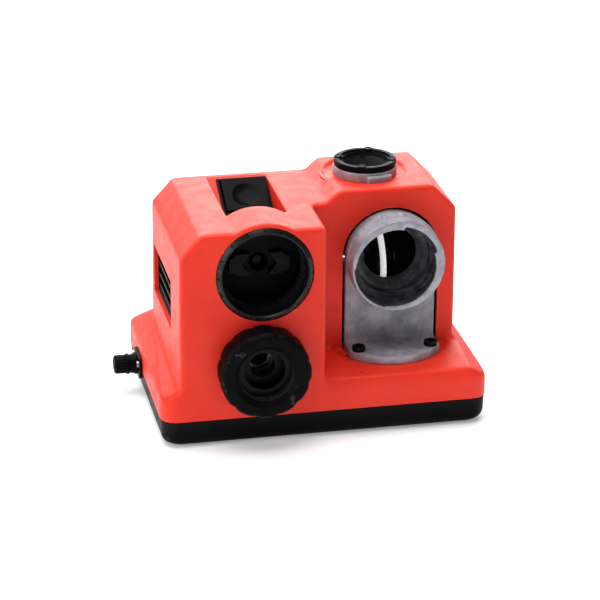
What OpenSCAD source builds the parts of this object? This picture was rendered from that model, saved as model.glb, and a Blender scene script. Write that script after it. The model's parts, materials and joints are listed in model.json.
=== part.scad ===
// Bench drill bit sharpener with a setting port, a parked collet chuck, a point grinding port
// and a web thinning port. The origin is on the bench, midway between the four bench holes.
// +X is to the operator's right, +Y points away from the operator, +Z is up.

/* [Body] */
// Width of the body at the parting line
body_w = 210; // [206:1:216]
// Depth of the body at the parting line
body_d = 142; // [140:1:148]
// Height of the parting line between base and shell
seam_z = 18; // [17:1:20]
// Height of the low left block that holds the motor
left_top = 141; // [140:0.5:142]
// Height of the right block that holds the wheel
right_top = 148.5; // [148:0.5:150]
// Shell wall thickness
wall = 3; // [2.5:0.1:3]

/* [Ports] */
// Outer radius of the setting port ring
setting_r = 30.4; // [30:0.1:30.5]
// Outer radius of the point grinding tube
tube_r = 30; // [29.6:0.1:30.2]
// Bore radius of the point grinding tube
tube_bore_r = 27.8; // [27:0.1:28]
// Largest turn of the point grinding port to either side, in degrees
swivel_deg = 10; // [6:1:10]
// Outer radius of the web thinning ring
thin_r = 20; // [19.5:0.1:20.5]
// Bore radius of the web thinning port
thin_bore_r = 14.2; // [13:0.1:14.5]

/* [Chuck] */
// Radius of the chuck's grip over its lobes
grip_r = 28.6; // [28:0.1:28.8]
// Number of shallow lobes round the grip
grip_lobes = 12; // [8:1:16]
// Radius of the chuck barrel that fits the ports
barrel_r = 23.7; // [23:0.1:23.7]
// Bore radius of the collet, for the largest drill
collet_r = 6.5; // [5:0.1:6.5]

/* [Motor and wheel] */
// Grinding wheel radius
wheel_r = 28; // [26:0.5:28]
// Grinding wheel rim width
wheel_w = 3; // [3:0.5:6]
// Motor stack radius
motor_r = 25; // [23:0.5:25]
// Shaft radius
shaft_r = 3.98; // [3.9:0.01:3.98]

/* [Hidden] */

$fn = 96;
EPS = 0.01;
HULL_FN = 32;

shell_red = "orangered";
port_black = [0.08, 0.08, 0.09];
cast_grey = "silver";
steel_grey = [0.55, 0.56, 0.58];

foot_z = 1;                 // underside of the tray, above the feet's soles
tray_floor = 4;
foot_r = 9;
foot_recess = 2;
foot_x = 84;
foot_y = 50;
bench_x = 70;
bench_y = 52;
bench_hole_r = 2.75;
post_x = 94;
post_y = 60;
post_r = 4.5;
shell_screw_r = 1.48;
shell_head_r = 3;
foot_screw_r = 1.5;
foot_head_r = 3.2;

band_z = 32;                // top of the skirt's upright band
shelf_z = 38.5;             // front edge of the shelf
slope_top = 50;             // foot of the back wall
block_x = 93;               // side walls of both blocks
front_y = -70;
back_y = 38;
split_x = -1.3;             // right wall of the left block, in front of the wheel block
wheel_front_y = -29;        // front face of the right block
chamfer = 14;
edge_r = 4;

set_x = -40;
set_z = 113;
hood_r = 33.2;
hood_back = -38;
ring_front = front_y - 2.6; // the setting ring stands proud of the hood
ring_bore_r = 26.5;
ring_chamfer = 2.2;
neck_r = 9;                 // spigot at the back of the setting port, under the switch pocket
stop_r = 3;
socket_x = -42;
socket_z = 53.5;
socket_r = 26.6;
socket_back = -34;

port_x = 49.5;
port_z = 104;
pivot_y = -22;
tube_front = -50.75;
plate_front = -29.4;
plate_t = 4;
plate_hw = 29.4;
seat_front = -38;            // step in the grinding port that stops the chuck's guide
seat_r = 23.8;
pad_z = 40.3;
pad_t = 3.3;
foot_t = 5.6;
foot_arc_r = 37;
arch_r = 31.3;
screw_dx = 23.5;
screw_dy = -22.5;
screw_ring_r = norm([screw_dx, screw_dy]);
screw_bearing = atan2(-screw_dy, screw_dx);

thin_x = 40.5;
thin_y = 8;
thin_turn = -20;
thin_floor = 146.5;

axis_y = 5;                 // motor and wheel axis
axis_z = 88;
wheel_x = 47;
bolt_ring_r = 22.8;
bore_r = 4;                 // what the shaft carries or runs in
bearing_r = 10.98;
bearing_w = 7;
cap_x0 = -74;               // rear motor cap
cap_x1 = -16;               // front motor cap
stack_x0 = -60;
stack_x1 = -22;

pocket_x0 = -58;
pocket_x1 = -20;
pocket_tilt = 26;
switch_x = -36.5;
switch_y = 14.5;
switch_z = 132.6;
rocker_rest = 8;
rocker_pivot = -2;          // height of the rocker's pins on the switch plane
rocker_hx = 14;
rocker_pin_r = 1.5;
switch_hx = 15.2;           // half width of the switch body
switch_hy = 15;             // half length of the switch body

gland_y = 20;
gland_z = 20;
cord_r = 3.6;
gland_thread_r = 5.5;
wall_x = -body_w / 2;

tray_top = foot_z + tray_floor;
cap_x = -20;                // front end of the capacitor's case
cap_y = 48;
cap_z = 18;
cap_r = 11;
cap_len = 38;
clip_x = -46;
clip_w = 10;
terminal_x = -10;
terminal_pitch = 9;

window_y0 = -36.5;
window_y1 = 29.5;
window_z0 = 66.5;
window_z1 = 99;

// ---------- helpers ----------

module x_rod(r, x0, x1, y = 0, z = 0) {
    translate([x0, y, z]) rotate([0, 90, 0]) cylinder(r = r, h = x1 - x0);
}

module y_rod(r, y0, y1, x = 0, z = 0) {
    translate([x, y1, z]) rotate([90, 0, 0]) cylinder(r = r, h = y1 - y0);
}

module z_rod(r, z0, z1, x = 0, y = 0) {
    translate([x, y, z0]) cylinder(r = r, h = z1 - z0);
}

module y_cone(r0, r1, y0, y1, x = 0, z = 0) {
    translate([x, y0, z]) rotate([-90, 0, 0]) cylinder(r1 = r0, r2 = r1, h = y1 - y0);
}

module box(x0, x1, y0, y1, z0, z1) {
    translate([x0, y0, z0]) cube([x1 - x0, y1 - y0, z1 - z0]);
}

// A profile in Y and Z, swept along X
module x_sweep(points, x0, x1) {
    translate([x0, 0, 0]) rotate([90, 0, 90]) linear_extrude(x1 - x0) polygon(points);
}

// A profile in X and Z, swept along Y
module y_sweep(points, y0, y1) {
    translate([0, y1, 0]) rotate([90, 0, 0]) linear_extrude(y1 - y0) polygon(points);
}

// A convex body with rounded edges through the given outer corners, which lie r outside the centres
module soft_hull(centres, r) {
    hull() {
        for (c = centres) translate(c) sphere(r = r, $fn = HULL_FN);
    }
}

module round_slab(w, d, r, z0, z1) {
    hull() {
        for (sx = [-1, 1], sy = [-1, 1]) {
            translate([sx * (w / 2 - r), sy * (d / 2 - r), z0]) cylinder(r = r, h = z1 - z0, $fn = HULL_FN);
        }
    }
}

module at_corners(x, y) {
    for (sx = [-1, 1], sy = [-1, 1]) translate([sx * x, sy * y, 0]) children();
}

module on_thinning_axis() {
    translate([thin_x, thin_y, 0]) rotate([0, 0, thin_turn]) children();
}

module on_switch_plane() {
    translate([switch_x, switch_y, switch_z]) rotate([pocket_tilt, 0, 0]) children();
}

// ---------- base ----------

module tray_outside() {
    hull() {
        round_slab(body_w - 8, body_d - 8, 9, foot_z, foot_z + 1);
        round_slab(body_w - 2.6, body_d - 2.6, 10, foot_z + 4, foot_z + 5);
        round_slab(body_w - 0.8, body_d - 0.8, 10, seam_z - 1, seam_z);
    }
}

module base_tray() {
    tray_hx = body_w / 2 - 4;
    tray_hy = body_d / 2 - 4;
    color(port_black)
    difference() {
        union() {
            difference() {
                tray_outside();
                box(-tray_hx, tray_hx, -tray_hy, tray_hy, tray_top, seam_z + EPS);
            }
            at_corners(post_x, post_y) z_rod(post_r, foot_z + 1, seam_z);
            at_corners(foot_x, foot_y) z_rod(4, tray_top - 1, 11);
            at_corners(bench_x, bench_y) z_rod(6, tray_top - 1, 8);
        }
        at_corners(post_x, post_y) {
            z_rod(shell_screw_r + 0.32, 0, seam_z + 1);
            z_rod(shell_head_r + 0.2, 0, foot_z + 3);
        }
        at_corners(foot_x, foot_y) {
            z_rod(foot_r + 0.05, 0, foot_z + foot_recess);
            z_rod(foot_screw_r + 0.02, 0, 10);
        }
        at_corners(bench_x, bench_y) z_rod(bench_hole_r, 0, 20);
        x_rod(gland_thread_r + 0.2, -110, -95, gland_y, gland_z);
    }
}

module base_feet() {
    color([0.13, 0.13, 0.13])
    at_corners(foot_x, foot_y)
    difference() {
        z_rod(foot_r, 0, foot_z + foot_recess);
        z_rod(foot_head_r + 0.2, -1, 1.4);
        z_rod(foot_screw_r + 0.2, 0, 10);
    }
}

module foot_screws() {
    color(steel_grey)
    at_corners(foot_x, foot_y) {
        z_rod(foot_head_r, 0.3, 1.4);
        z_rod(foot_screw_r, 1, 9.5);
    }
}

module shell_screws() {
    color(steel_grey)
    at_corners(post_x, post_y)
    difference() {
        union() {
            z_rod(shell_head_r, foot_z + 0.6, foot_z + 3);
            z_rod(shell_screw_r, foot_z + 2, 27);
        }
        box(-2, 2, -0.4, 0.4, 0, foot_z + 1.4);
        box(-0.4, 0.4, -2, 2, 0, foot_z + 1.4);
    }
}

// ---------- shell ----------

module skirt_outside() {
    round_slab(body_w, body_d, 9, seam_z, band_z);
    hull() {
        round_slab(body_w, body_d, 9, band_z - 1, band_z);
        for (x = [-block_x + 3, block_x - 3]) {
            translate([x, -body_d / 2 + 4, shelf_z - 3]) sphere(r = 3, $fn = HULL_FN);
            translate([x, back_y, slope_top - 3]) sphere(r = 3, $fn = HULL_FN);
        }
    }
}

module left_block() {
    low_x = -block_x - 0.5 + edge_r;
    high_x = -block_x + edge_r;
    soft_hull([
        for (x = [low_x, split_x - edge_r], y = [front_y - 0.6 + edge_r, back_y + 1.6 - edge_r]) [x, y, 30],
        for (y = [front_y + edge_r, back_y + 0.4 - edge_r]) [high_x, y, left_top - chamfer - edge_r],
        for (x = [-block_x + chamfer + 2, split_x - edge_r], y = [front_y + edge_r, back_y - edge_r])
            [x, y, left_top - edge_r]
    ], edge_r);
}

module left_block_rear() {
    soft_hull([
        for (x = [-50, 20], y = [wheel_front_y + edge_r, back_y + 1.6 - edge_r]) [x, y, 30],
        for (x = [-50, 20], y = [wheel_front_y + edge_r, back_y - edge_r]) [x, y, left_top - edge_r]
    ], edge_r);
}

module right_block() {
    low_x = block_x - 1 - edge_r;
    soft_hull([
        for (x = [split_x + 6 + edge_r, low_x + 0.8], y = [wheel_front_y - 0.4 + edge_r, back_y + 1.6 - edge_r])
            [x, y, 30],
        for (y = [wheel_front_y + edge_r, back_y - edge_r]) [low_x, y, right_top - 16 - edge_r + 2],
        for (y = [wheel_front_y + edge_r, back_y - edge_r]) [split_x + 6 + edge_r, y, right_top - 13],
        for (x = [15.9 + 2, 76.2 - 2], y = [wheel_front_y + edge_r, back_y - edge_r]) [x, y, right_top - edge_r]
    ], edge_r);
}

module cavity() {
    z0 = seam_z - 1;
    box(-102, 102, -68, 68, z0, band_z - 3);
    x_sweep([[-67.5, z0], [-67.5, 35], [-40, 36.5], [32, 36.5], [32, 45], [37, 45], [66, 30], [66, z0]], -90, 89);
    y_sweep([[-90.5, z0], [-90.5, 123.5], [-77, 138], [-4.3, 138], [-4.3, z0]], -67, 35);
    y_sweep([[-10, z0], [-10, 138], [12, 138], [18, 145.5], [74.5, 145.5], [89, 131], [89, z0]], -26.2, 35);
}

module pocket_block() {
    x_sweep([[34, 140], [34, 138], [-1, 122.5], [-39, 122.5], [-39, 140]], pocket_x0 - 2.5, pocket_x1 + 2.5);
}

module pocket() {
    rise = tan(pocket_tilt);
    floor_at = function (y) switch_z + (y - switch_y) * rise;
    x_sweep([[31.5, 160], [31.5, floor_at(31.5)], [0, floor_at(0)], [hood_back, floor_at(0)], [hood_back, 160]],
        pocket_x0, pocket_x1);
    on_switch_plane() box(-switch_hx - 0.1, switch_hx + 0.1, -switch_hy - 0.1, switch_hy + 0.1, -20, 5);
}

module arc_slot(r, half_w, bearing, half_span, z0, z1) {
    translate([0, 0, z0]) rotate([0, 0, bearing - half_span])
    rotate_extrude(angle = 2 * half_span) translate([r - half_w, 0]) square([2 * half_w, z1 - z0]);
}

module pad_slots() {
    translate([port_x, pivot_y, 0])
    for (bearing = [-screw_bearing, -180 + screw_bearing]) {
        arc_slot(screw_ring_r, 2.9, bearing, swivel_deg + 5.6, pad_z - pad_t - 1, pad_z + 1);
    }
}

module body_shell() {
    color(shell_red)
    difference() {
        union() {
            difference() {
                union() {
                    skirt_outside();
                    left_block();
                    left_block_rear();
                    right_block();
                    y_rod(hood_r, front_y - 0.4, hood_back, set_x, set_z);
                }
                cavity();
                z_rod(38.8, band_z - 6, pad_z - pad_t, port_x, pivot_y);
            }
            z_rod(38.5, pad_z - pad_t, pad_z, port_x, pivot_y);
            z_rod(29, thin_floor - 4, thin_floor + 1, thin_x, thin_y);
            pocket_block();
            y_rod(hood_r, front_y + 2, hood_back, set_x, set_z);
            at_corners(post_x, post_y) z_rod(post_r, seam_z, band_z - 2);
        }
        pocket();
        y_rod(30.7, front_y - 5, -41, set_x, set_z);
        y_rod(neck_r + 0.1, -45, hood_back + 1, set_x, set_z);
        y_rod(socket_r + 0.1, front_y - 5, socket_back + 1, socket_x, socket_z);
        y_rod(arch_r, wheel_front_y - 5, -20, port_x, port_z);
        box(port_x - arch_r, port_x + arch_r, wheel_front_y - 10, -24, pad_z, port_z);
        intersection() {
            z_rod(foot_arc_r + 1.6, pad_z, pad_z + 4, port_x, pivot_y);
            box(-100, 100, -80, wheel_front_y - 0.4, 0, 60);
        }
        pad_slots();
        z_rod(10.05, 30, 50, port_x, pivot_y);
        z_rod(26.5, thin_floor, right_top + 5, thin_x, thin_y);
        z_rod(19, 130, 160, thin_x, thin_y);
        x_rod(gland_thread_r + 0.2, -110, -95, gland_y, gland_z);
        box(-100, -80, window_y0, window_y1, window_z0, window_z1);
        at_corners(post_x, post_y) z_rod(shell_screw_r + 0.02, seam_z - 1, 28);
    }
}

module vent_grille() {
    slat_pitch = 7.4;
    slats = 4;
    color(port_black)
    difference() {
        union() {
            difference() {
                box(-90.5, -86.5, window_y0 - 4, window_y1 + 4, window_z0 - 4, window_z1 + 4);
                box(-95, -80, window_y0 + 2, window_y1 - 2, window_z0 + 2, window_z1 - 2);
            }
            for (i = [0:slats - 1]) {
                translate([-88.5, 0, window_z0 + 5.1 + i * slat_pitch])
                rotate([0, 35, 0]) box(-2.6, 2.6, window_y0 + 1, window_y1 - 1, -0.8, 0.8);
            }
            box(-88.9, -87.1, -4.5, -2.5, window_z0 + 1, window_z1 - 1);
        }
        box(-100, -90.5, -60, 60, 50, 120);
    }
}

// ---------- switch ----------

module switch_housing() {
    color(port_black)
    on_switch_plane()
    difference() {
        union() {
            box(-switch_hx, switch_hx, -switch_hy, switch_hy, -12, 0.5);
            box(-switch_hx - 1, switch_hx + 1, -switch_hy - 1, switch_hy + 1, 0.02, 1.4);
        }
        box(-switch_hx + 0.9, switch_hx - 0.9, -switch_hy + 0.9, switch_hy - 0.9, -10.4, 5);
        x_rod(rocker_pin_r + 0.03, -rocker_hx - 0.7, rocker_hx + 0.7, 0, rocker_pivot);
    }
}

module rocker_shape() {
    profile = [[-13.1, 6.2], [-13.4, 3.8], [-8, -2.2], [8, -2.2], [13.4, 3.8], [13.1, 6.2]];
    dish_r = 45;
    dish_z = 50;
    rotate([rocker_rest, 0, 0])
    difference() {
        union() {
            x_sweep(profile, -rocker_hx, rocker_hx);
            x_rod(rocker_pin_r, -rocker_hx - 0.6, rocker_hx + 0.6);
        }
        translate([0, 0, dish_z]) sphere(r = dish_r);
    }
}

module switch_rocker() {
    color([0.06, 0.06, 0.07])
    on_switch_plane() translate([0, 0, rocker_pivot]) rocker_shape();
}

// ---------- setting port ----------

module setting_port_housing() {
    color([0.12, 0.12, 0.13])
    difference() {
        union() {
            y_rod(30.6, -58, hood_back - 3.02, set_x, set_z);
            y_rod(neck_r, -42, -32, set_x, set_z);
        }
        y_rod(25.3, -60, -48, set_x, set_z);
        y_rod(6, -50, -34, set_x, set_z);
        y_rod(stop_r + 0.02, -40, -30, set_x, set_z);
    }
}

module setting_port_ring() {
    dimples = 16;
    color(port_black)
    difference() {
        union() {
            y_cone(setting_r - ring_chamfer, setting_r, ring_front, ring_front + ring_chamfer, set_x, set_z);
            y_rod(setting_r, ring_front + ring_chamfer - EPS, -58.1, set_x, set_z);
        }
        y_rod(ring_bore_r, ring_front - 2, -50, set_x, set_z);
        y_cone(ring_bore_r + 1.2, ring_bore_r, ring_front - EPS, ring_front + 1.2, set_x, set_z);
        for (i = [0:dimples - 1]) {
            translate([set_x, ring_front + ring_chamfer / 2, set_z]) rotate([0, i * 360 / dimples, 0])
            translate([0, 0, setting_r - ring_chamfer / 2]) rotate([-90, 0, 0])
            cylinder(r = 0.9, h = ring_chamfer, center = true, $fn = 24);
        }
    }
}

// A jaw plate with a vee mouth that faces the port's axis
module finger_shape() {
    translate([0, -48.1, 0]) rotate([90, 0, 0]) linear_extrude(4)
    polygon([[6, -7], [14, -7], [17, -4.5], [19, -4.5], [19, 4.5], [17, 4.5], [14, 7], [6, 7], [11, 0]]);
}

module alignment_finger_right() {
    color(steel_grey) translate([set_x, 0, set_z]) finger_shape();
}

module alignment_finger_left() {
    color(steel_grey) translate([set_x, 0, set_z]) mirror([1, 0, 0]) finger_shape();
}

module setting_stop() {
    color(steel_grey) {
        y_rod(stop_r, -44, -30, set_x, set_z);
        y_rod(6, -30, -27, set_x, set_z);
    }
}

// ---------- chuck ----------

module storage_socket() {
    color([0.12, 0.12, 0.13])
    difference() {
        union() {
            y_rod(socket_r, -70.2, socket_back, socket_x, socket_z);
            intersection() {
                y_rod(socket_r + 2.6, -67, -65, socket_x, socket_z);
                box(-90, 0, -68, -64, 0, set_z - hood_r - 1.5);
            }
        }
        y_rod(barrel_r + 0.15, -75, socket_back - 2, socket_x, socket_z);
    }
}

module chuck_body() {
    color(port_black)
    difference() {
        union() {
            y_rod(21.9, -83.4, -70, socket_x, socket_z);
            y_rod(barrel_r, -71.3, -44, socket_x, socket_z);
            y_cone(barrel_r, 19, -44, -38, socket_x, socket_z);
        }
        y_rod(17, -90, -58, socket_x, socket_z);
        y_cone(9.5, 12.5, -58 - EPS, -37, socket_x, socket_z);
    }
}

module chuck_grip_ring() {
    front = -87.8;
    back = -71.4;
    color([0.1, 0.1, 0.11])
    difference() {
        union() {
            y_cone(grip_r - 1.6, grip_r, front, front + 1.6, socket_x, socket_z);
            y_rod(grip_r, front + 1.6, back, socket_x, socket_z);
        }
        for (i = [0:grip_lobes - 1]) {
            translate([socket_x, 0, socket_z]) rotate([0, (i + 0.5) * 360 / grip_lobes, 0])
            y_rod(7, front - 1, back + 1, grip_r + 5.9, 0);
        }
        y_rod(22, -83.5, back + 1, socket_x, socket_z);
        y_rod(17.2, front - 1, back, socket_x, socket_z);
        y_cone(20.2, 17.2, front - EPS, front + 3, socket_x, socket_z);
    }
}

module draw_sleeve() {
    color(steel_grey)
    difference() {
        y_rod(16.9, -80, -60, socket_x, socket_z);
        y_rod(8, -90, -55, socket_x, socket_z);
        y_rod(13, -90, -72, socket_x, socket_z);
    }
}

module collet() {
    slits = 3;
    color("lightgrey")
    difference() {
        y_cone(9.4, 12.1, -57.6, -38, socket_x, socket_z);
        y_rod(collet_r, -60, -30, socket_x, socket_z);
        for (i = [0:slits - 1]) {
            translate([socket_x, 0, socket_z]) rotate([0, i * 120, 0]) box(4, 15, -52, -30, -0.4, 0.4);
        }
    }
}

// ---------- point grinding port ----------

// Inner radius of the port's front cam, for an angle seen from the operator's side
cam_step_high = 83;
cam_step_low = 17;
cam_step_foot = -106;
cam_near = 23.9;
cam_far = 27.6;
cam_mid = 26.1;
cam_open = 28.4;
cam_points = 120;
cam_depth = 4;

function cam_radius(a) =
    a > cam_step_high ? cam_near + (cam_far - cam_near) * (a - cam_step_high) / (180 - cam_step_high) :
    a > cam_step_low ? cam_mid :
    a > cam_step_foot ? cam_near + (cam_far - cam_near) * (cam_step_low - a) / (cam_step_low - cam_step_foot) :
    cam_open;

module cam_opening() {
    polygon([
        for (i = [0:cam_points - 1])
        let (a = 179 - 360 * i / cam_points, r = cam_radius(a))
        [r * cos(a), r * sin(a)]
    ]);
}

module grinding_port_bracket() {
    plate_back = plate_front + plate_t;
    tube_back = plate_front - 6;
    seat_back = plate_front - 2;
    color(cast_grey)
    difference() {
        union() {
            y_rod(tube_r, tube_front, tube_back, port_x, port_z);
            y_rod(plate_hw + 0.05, tube_back - EPS, plate_back, port_x, port_z);
            box(port_x - plate_hw, port_x + plate_hw, plate_front, plate_back, pad_z + 1, port_z);
            intersection() {
                z_rod(foot_arc_r, pad_z + 0.05, pad_z + foot_t, port_x, pivot_y);
                box(port_x - plate_hw, port_x + plate_hw, -80, plate_back, pad_z, pad_z + 20);
            }
            fillet_strip(plate_front, pad_z + foot_t, 2.4);
        }
        y_rod(tube_bore_r, tube_front + cam_depth, seat_front, port_x, port_z);
        y_rod(seat_r, seat_front - EPS, seat_back, port_x, port_z);
        translate([port_x, tube_front + cam_depth + EPS, port_z]) rotate([90, 0, 0])
        linear_extrude(cam_depth + 2) cam_opening();
        y_cone(21, 17, seat_back - EPS, plate_back + EPS, port_x, port_z);
        for (side = [-1, 1]) z_rod(2.7, 30, 60, port_x + side * screw_dx, pivot_y + screw_dy);
    }
}

module fillet_strip(y, z, r) {
    arc = [for (a = [-90:15:0]) [y - r + r * cos(a), z + r + r * sin(a)]];
    x_sweep(concat([[y + 1, z - 1], [y - r, z - 1]], arc, [[y + 1, z + r]]), port_x - plate_hw, port_x + plate_hw);
}

module port_clamp_plate() {
    color(steel_grey)
    translate([port_x, pivot_y, 0])
    difference() {
        union() {
            intersection() {
                z_rod(36.5, 33, 36.9);
                box(-34, 34, -36, 12, 30, 40);
            }
            z_rod(10, 36, pad_z);
        }
        for (side = [-1, 1]) z_rod(2.52, 30, 40, side * screw_dx, screw_dy);
    }
}

module port_screws() {
    seat = pad_z + foot_t + 0.02;
    head_r = 4.25;
    head_h = 3.2;
    edge = 0.4;
    key_r = 2.3;
    shank_r = 2.5;
    color(port_black)
    for (side = [-1, 1]) {
        translate([port_x + side * screw_dx, pivot_y + screw_dy, seat])
        difference() {
            union() {
                z_rod(head_r, 0, head_h - edge);
                translate([0, 0, head_h - edge - EPS]) cylinder(r1 = head_r, r2 = head_r - edge, h = edge);
                z_rod(shank_r, 33.2 - seat, 1);
            }
            translate([0, 0, head_h - 2]) cylinder(r = key_r, h = 5, $fn = 6);
        }
    }
}

// ---------- web thinning port ----------

module thinning_port_base() {
    color(cast_grey)
    on_thinning_axis()
    difference() {
        union() {
            z_rod(20.4, thin_floor + 0.1, 152.5);
            z_rod(18.9, 139.5, 150);
            intersection() {
                z_rod(24.5, thin_floor + 0.1, 151);
                rotate([0, 0, -58]) box(0, 30, -8, 8, 140, 160);
            }
        }
        z_rod(thin_bore_r, 130, 160);
        for (i = [0:3]) rotate([0, 0, i * 90]) z_rod(0.98, 146, 153, 17.3, 0);
    }
}

module thinning_port_ring() {
    color(port_black)
    on_thinning_axis()
    difference() {
        union() {
            z_rod(thin_r, 152.52, 156.5);
            for (i = [0:3]) rotate([0, 0, i * 90]) z_rod(2.6, 152.52, 157, 17.3, 0);
        }
        z_rod(thin_bore_r, 150, 160);
        z_rod(16.2, 155.2, 160);
        for (i = [0:3]) rotate([0, 0, i * 90]) {
            z_rod(1.1, 150, 160, 17.3, 0);
            z_rod(1.9, 155.4, 160, 17.3, 0);
        }
    }
}

module thinning_ring_screws() {
    color(steel_grey)
    on_thinning_axis()
    for (i = [0:3]) rotate([0, 0, i * 90]) {
        z_rod(0.96, 147, 155.6, 17.3, 0);
        z_rod(1.8, 155.42, 156.6, 17.3, 0);
    }
}

module thinning_retainer() {
    color(steel_grey)
    on_thinning_axis()
    difference() {
        z_rod(23, 140.4, thin_floor - 4.1);
        z_rod(18.92, 130, 150);
    }
}

// ---------- wheel ----------

module wheel_hub() {
    color(cast_grey)
    difference() {
        x_rod(wheel_r - 4, wheel_x - 4, wheel_x + 4, axis_y, axis_z);
        x_rod(bore_r, 0, 90, axis_y, axis_z);
        x_rod(18, wheel_x + 1.5, wheel_x + 5, axis_y, axis_z);
    }
}

module wheel_rim() {
    color([0.72, 0.68, 0.55])
    difference() {
        union() {
            x_rod(wheel_r, wheel_x - wheel_w / 2 + 1, wheel_x + wheel_w / 2, axis_y, axis_z);
            translate([wheel_x - wheel_w / 2, axis_y, axis_z]) rotate([0, 90, 0])
            cylinder(r1 = wheel_r - 1.6, r2 = wheel_r, h = 1 + EPS);
        }
        x_rod(wheel_r - 3.98, 0, 90, axis_y, axis_z);
    }
}

module wheel_flange() {
    color(steel_grey)
    for (x0 = [wheel_x - 8, wheel_x + 1.52]) {
        difference() {
            x_rod(12, x0, x0 + 3.96, axis_y, axis_z);
            x_rod(bore_r, 0, 90, axis_y, axis_z);
        }
    }
}

module wheel_nut() {
    color(steel_grey)
    difference() {
        translate([wheel_x + 5.5, axis_y, axis_z]) rotate([0, 90, 0]) cylinder(r = 7.5, h = 6, $fn = 6);
        x_rod(bore_r, 0, 90, axis_y, axis_z);
    }
}

// ---------- motor ----------

module motor_shaft() {
    color(steel_grey) x_rod(shaft_r, -85, 60, axis_y, axis_z);
}

module rotor_core() {
    color([0.6, 0.6, 0.6])
    difference() {
        x_rod(15.4, stack_x0, stack_x1, axis_y, axis_z);
        x_rod(bore_r, -90, 0, axis_y, axis_z);
    }
}

module on_motor_bolts() {
    translate([0, axis_y, axis_z])
    for (i = [0:3]) rotate([45 + 90 * i, 0, 0]) translate([0, bolt_ring_r, 0]) children();
}

module stator_core() {
    color([0.45, 0.46, 0.48])
    difference() {
        x_rod(motor_r, stack_x0, stack_x1, axis_y, axis_z);
        x_rod(16, -90, 0, axis_y, axis_z);
        on_motor_bolts() x_rod(1.6, -90, 0);
    }
}

module stator_windings() {
    color([0.72, 0.36, 0.14])
    for (x0 = [stack_x0 - 5.5, stack_x1]) {
        difference() {
            x_rod(20.8, x0, x0 + 5.5, axis_y, axis_z);
            x_rod(16.4, -90, 0, axis_y, axis_z);
        }
    }
}

module motor_cap(x_disc, x_rim, x_bearing) {
    difference() {
        union() {
            x_rod(motor_r, x_disc, x_disc + 8, axis_y, axis_z);
            x_rod(motor_r, x_rim, x_rim + 6, axis_y, axis_z);
        }
        x_rod(21.2, x_rim - EPS, x_rim + 6 + EPS, axis_y, axis_z);
        x_rod(bearing_r + 0.02, x_bearing, x_bearing + bearing_w + 0.2, axis_y, axis_z);
        x_rod(7, -100, 10, axis_y, axis_z);
        on_motor_bolts() x_rod(1.6, -100, 10);
    }
}

module motor_cap_front() {
    color(cast_grey) motor_cap(cap_x1, stack_x1, cap_x1 - 0.1);
}

module motor_cap_rear() {
    color(cast_grey) motor_cap(cap_x0, stack_x0 - 6, cap_x0 + 1);
}

module bearing(x0) {
    difference() {
        x_rod(bearing_r, x0, x0 + bearing_w, axis_y, axis_z);
        x_rod(bore_r, -100, 10, axis_y, axis_z);
    }
}

module bearing_front() {
    color("gainsboro") bearing(cap_x1);
}

module bearing_rear() {
    color("gainsboro") bearing(cap_x0 + 1);
}

module cooling_fan() {
    blades = 9;
    color([0.2, 0.2, 0.22])
    difference() {
        union() {
            x_rod(8, -84, -76.5, axis_y, axis_z);
            x_rod(24, -78, -76.5, axis_y, axis_z);
            for (i = [0:blades - 1]) {
                translate([0, axis_y, axis_z]) rotate([i * 360 / blades, 0, 0]) box(-84, -77, 6, 23, -0.7, 0.7);
            }
        }
        x_rod(bore_r, -90, 0, axis_y, axis_z);
    }
}

module motor_bolts() {
    color(steel_grey)
    on_motor_bolts() {
        x_rod(1.5, -75, -2);
        x_rod(2.8, -76.3, -74);
        difference() {
            x_rod(2.9, -5, -2.6);
            x_rod(1.4, -6, 0);
        }
    }
}

module motor_bracket() {
    color([0.62, 0.63, 0.64])
    difference() {
        union() {
            box(-8, -5, -21, 31, tray_top, 114);
            box(-34, -8 + EPS, -21, 31, tray_top, tray_top + 3);
        }
        x_rod(12, -20, 0, axis_y, axis_z);
        on_motor_bolts() x_rod(1.6, -20, 10);
        for (x = [-28, -16], y = [-14, 24]) z_rod(2.1, 0, 20, x, y);
    }
}

module bracket_screws() {
    top = tray_top + 3;
    color(steel_grey)
    for (x = [-28, -16], y = [-14, 24]) z_rod(3.4, top, top + 2.4, x, y);
}

module dust_partition() {
    partition_x = 16;
    color([0.7, 0.71, 0.72])
    difference() {
        union() {
            box(partition_x, partition_x + 1.5, -25.5, 34.5, pad_z + 2, 137.5);
            box(partition_x + 1.5 - EPS, 22, 20, 34.5, pad_z + 2, pad_z + 3.5);
        }
        x_rod(9, 0, 30, axis_y, axis_z);
    }
}

// ---------- electrics ----------

module run_capacitor() {
    color("white")
    union() {
        x_rod(cap_r, cap_x - cap_len, cap_x, cap_y, cap_z);
        x_rod(4, cap_x - EPS, cap_x + 4, cap_y, cap_z);
    }
}

module capacitor_clip() {
    color(steel_grey)
    difference() {
        union() {
            x_rod(cap_r + 1.2, clip_x, clip_x + clip_w, cap_y, cap_z);
            box(clip_x, clip_x + clip_w, cap_y - 14, cap_y + 14, tray_top, tray_top + 1.5);
        }
        x_rod(cap_r + 0.05, clip_x - 5, clip_x + clip_w + 5, cap_y, cap_z);
        box(clip_x - 5, clip_x + clip_w + 5, cap_y - 20, cap_y + 20, 0, tray_top);
        box(clip_x - 5, clip_x + clip_w + 5, cap_y - 20, cap_y + 20, cap_z + 6, cap_z + 20);
    }
}

module terminal_block() {
    color([0.9, 0.9, 0.88])
    difference() {
        box(terminal_x, terminal_x + 4 * terminal_pitch, 42, 56, tray_top, 19);
        for (i = [0:3]) z_rod(2, 11, 25, terminal_x + (i + 0.5) * terminal_pitch, 49);
    }
}

// ---------- cable gland ----------

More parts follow.
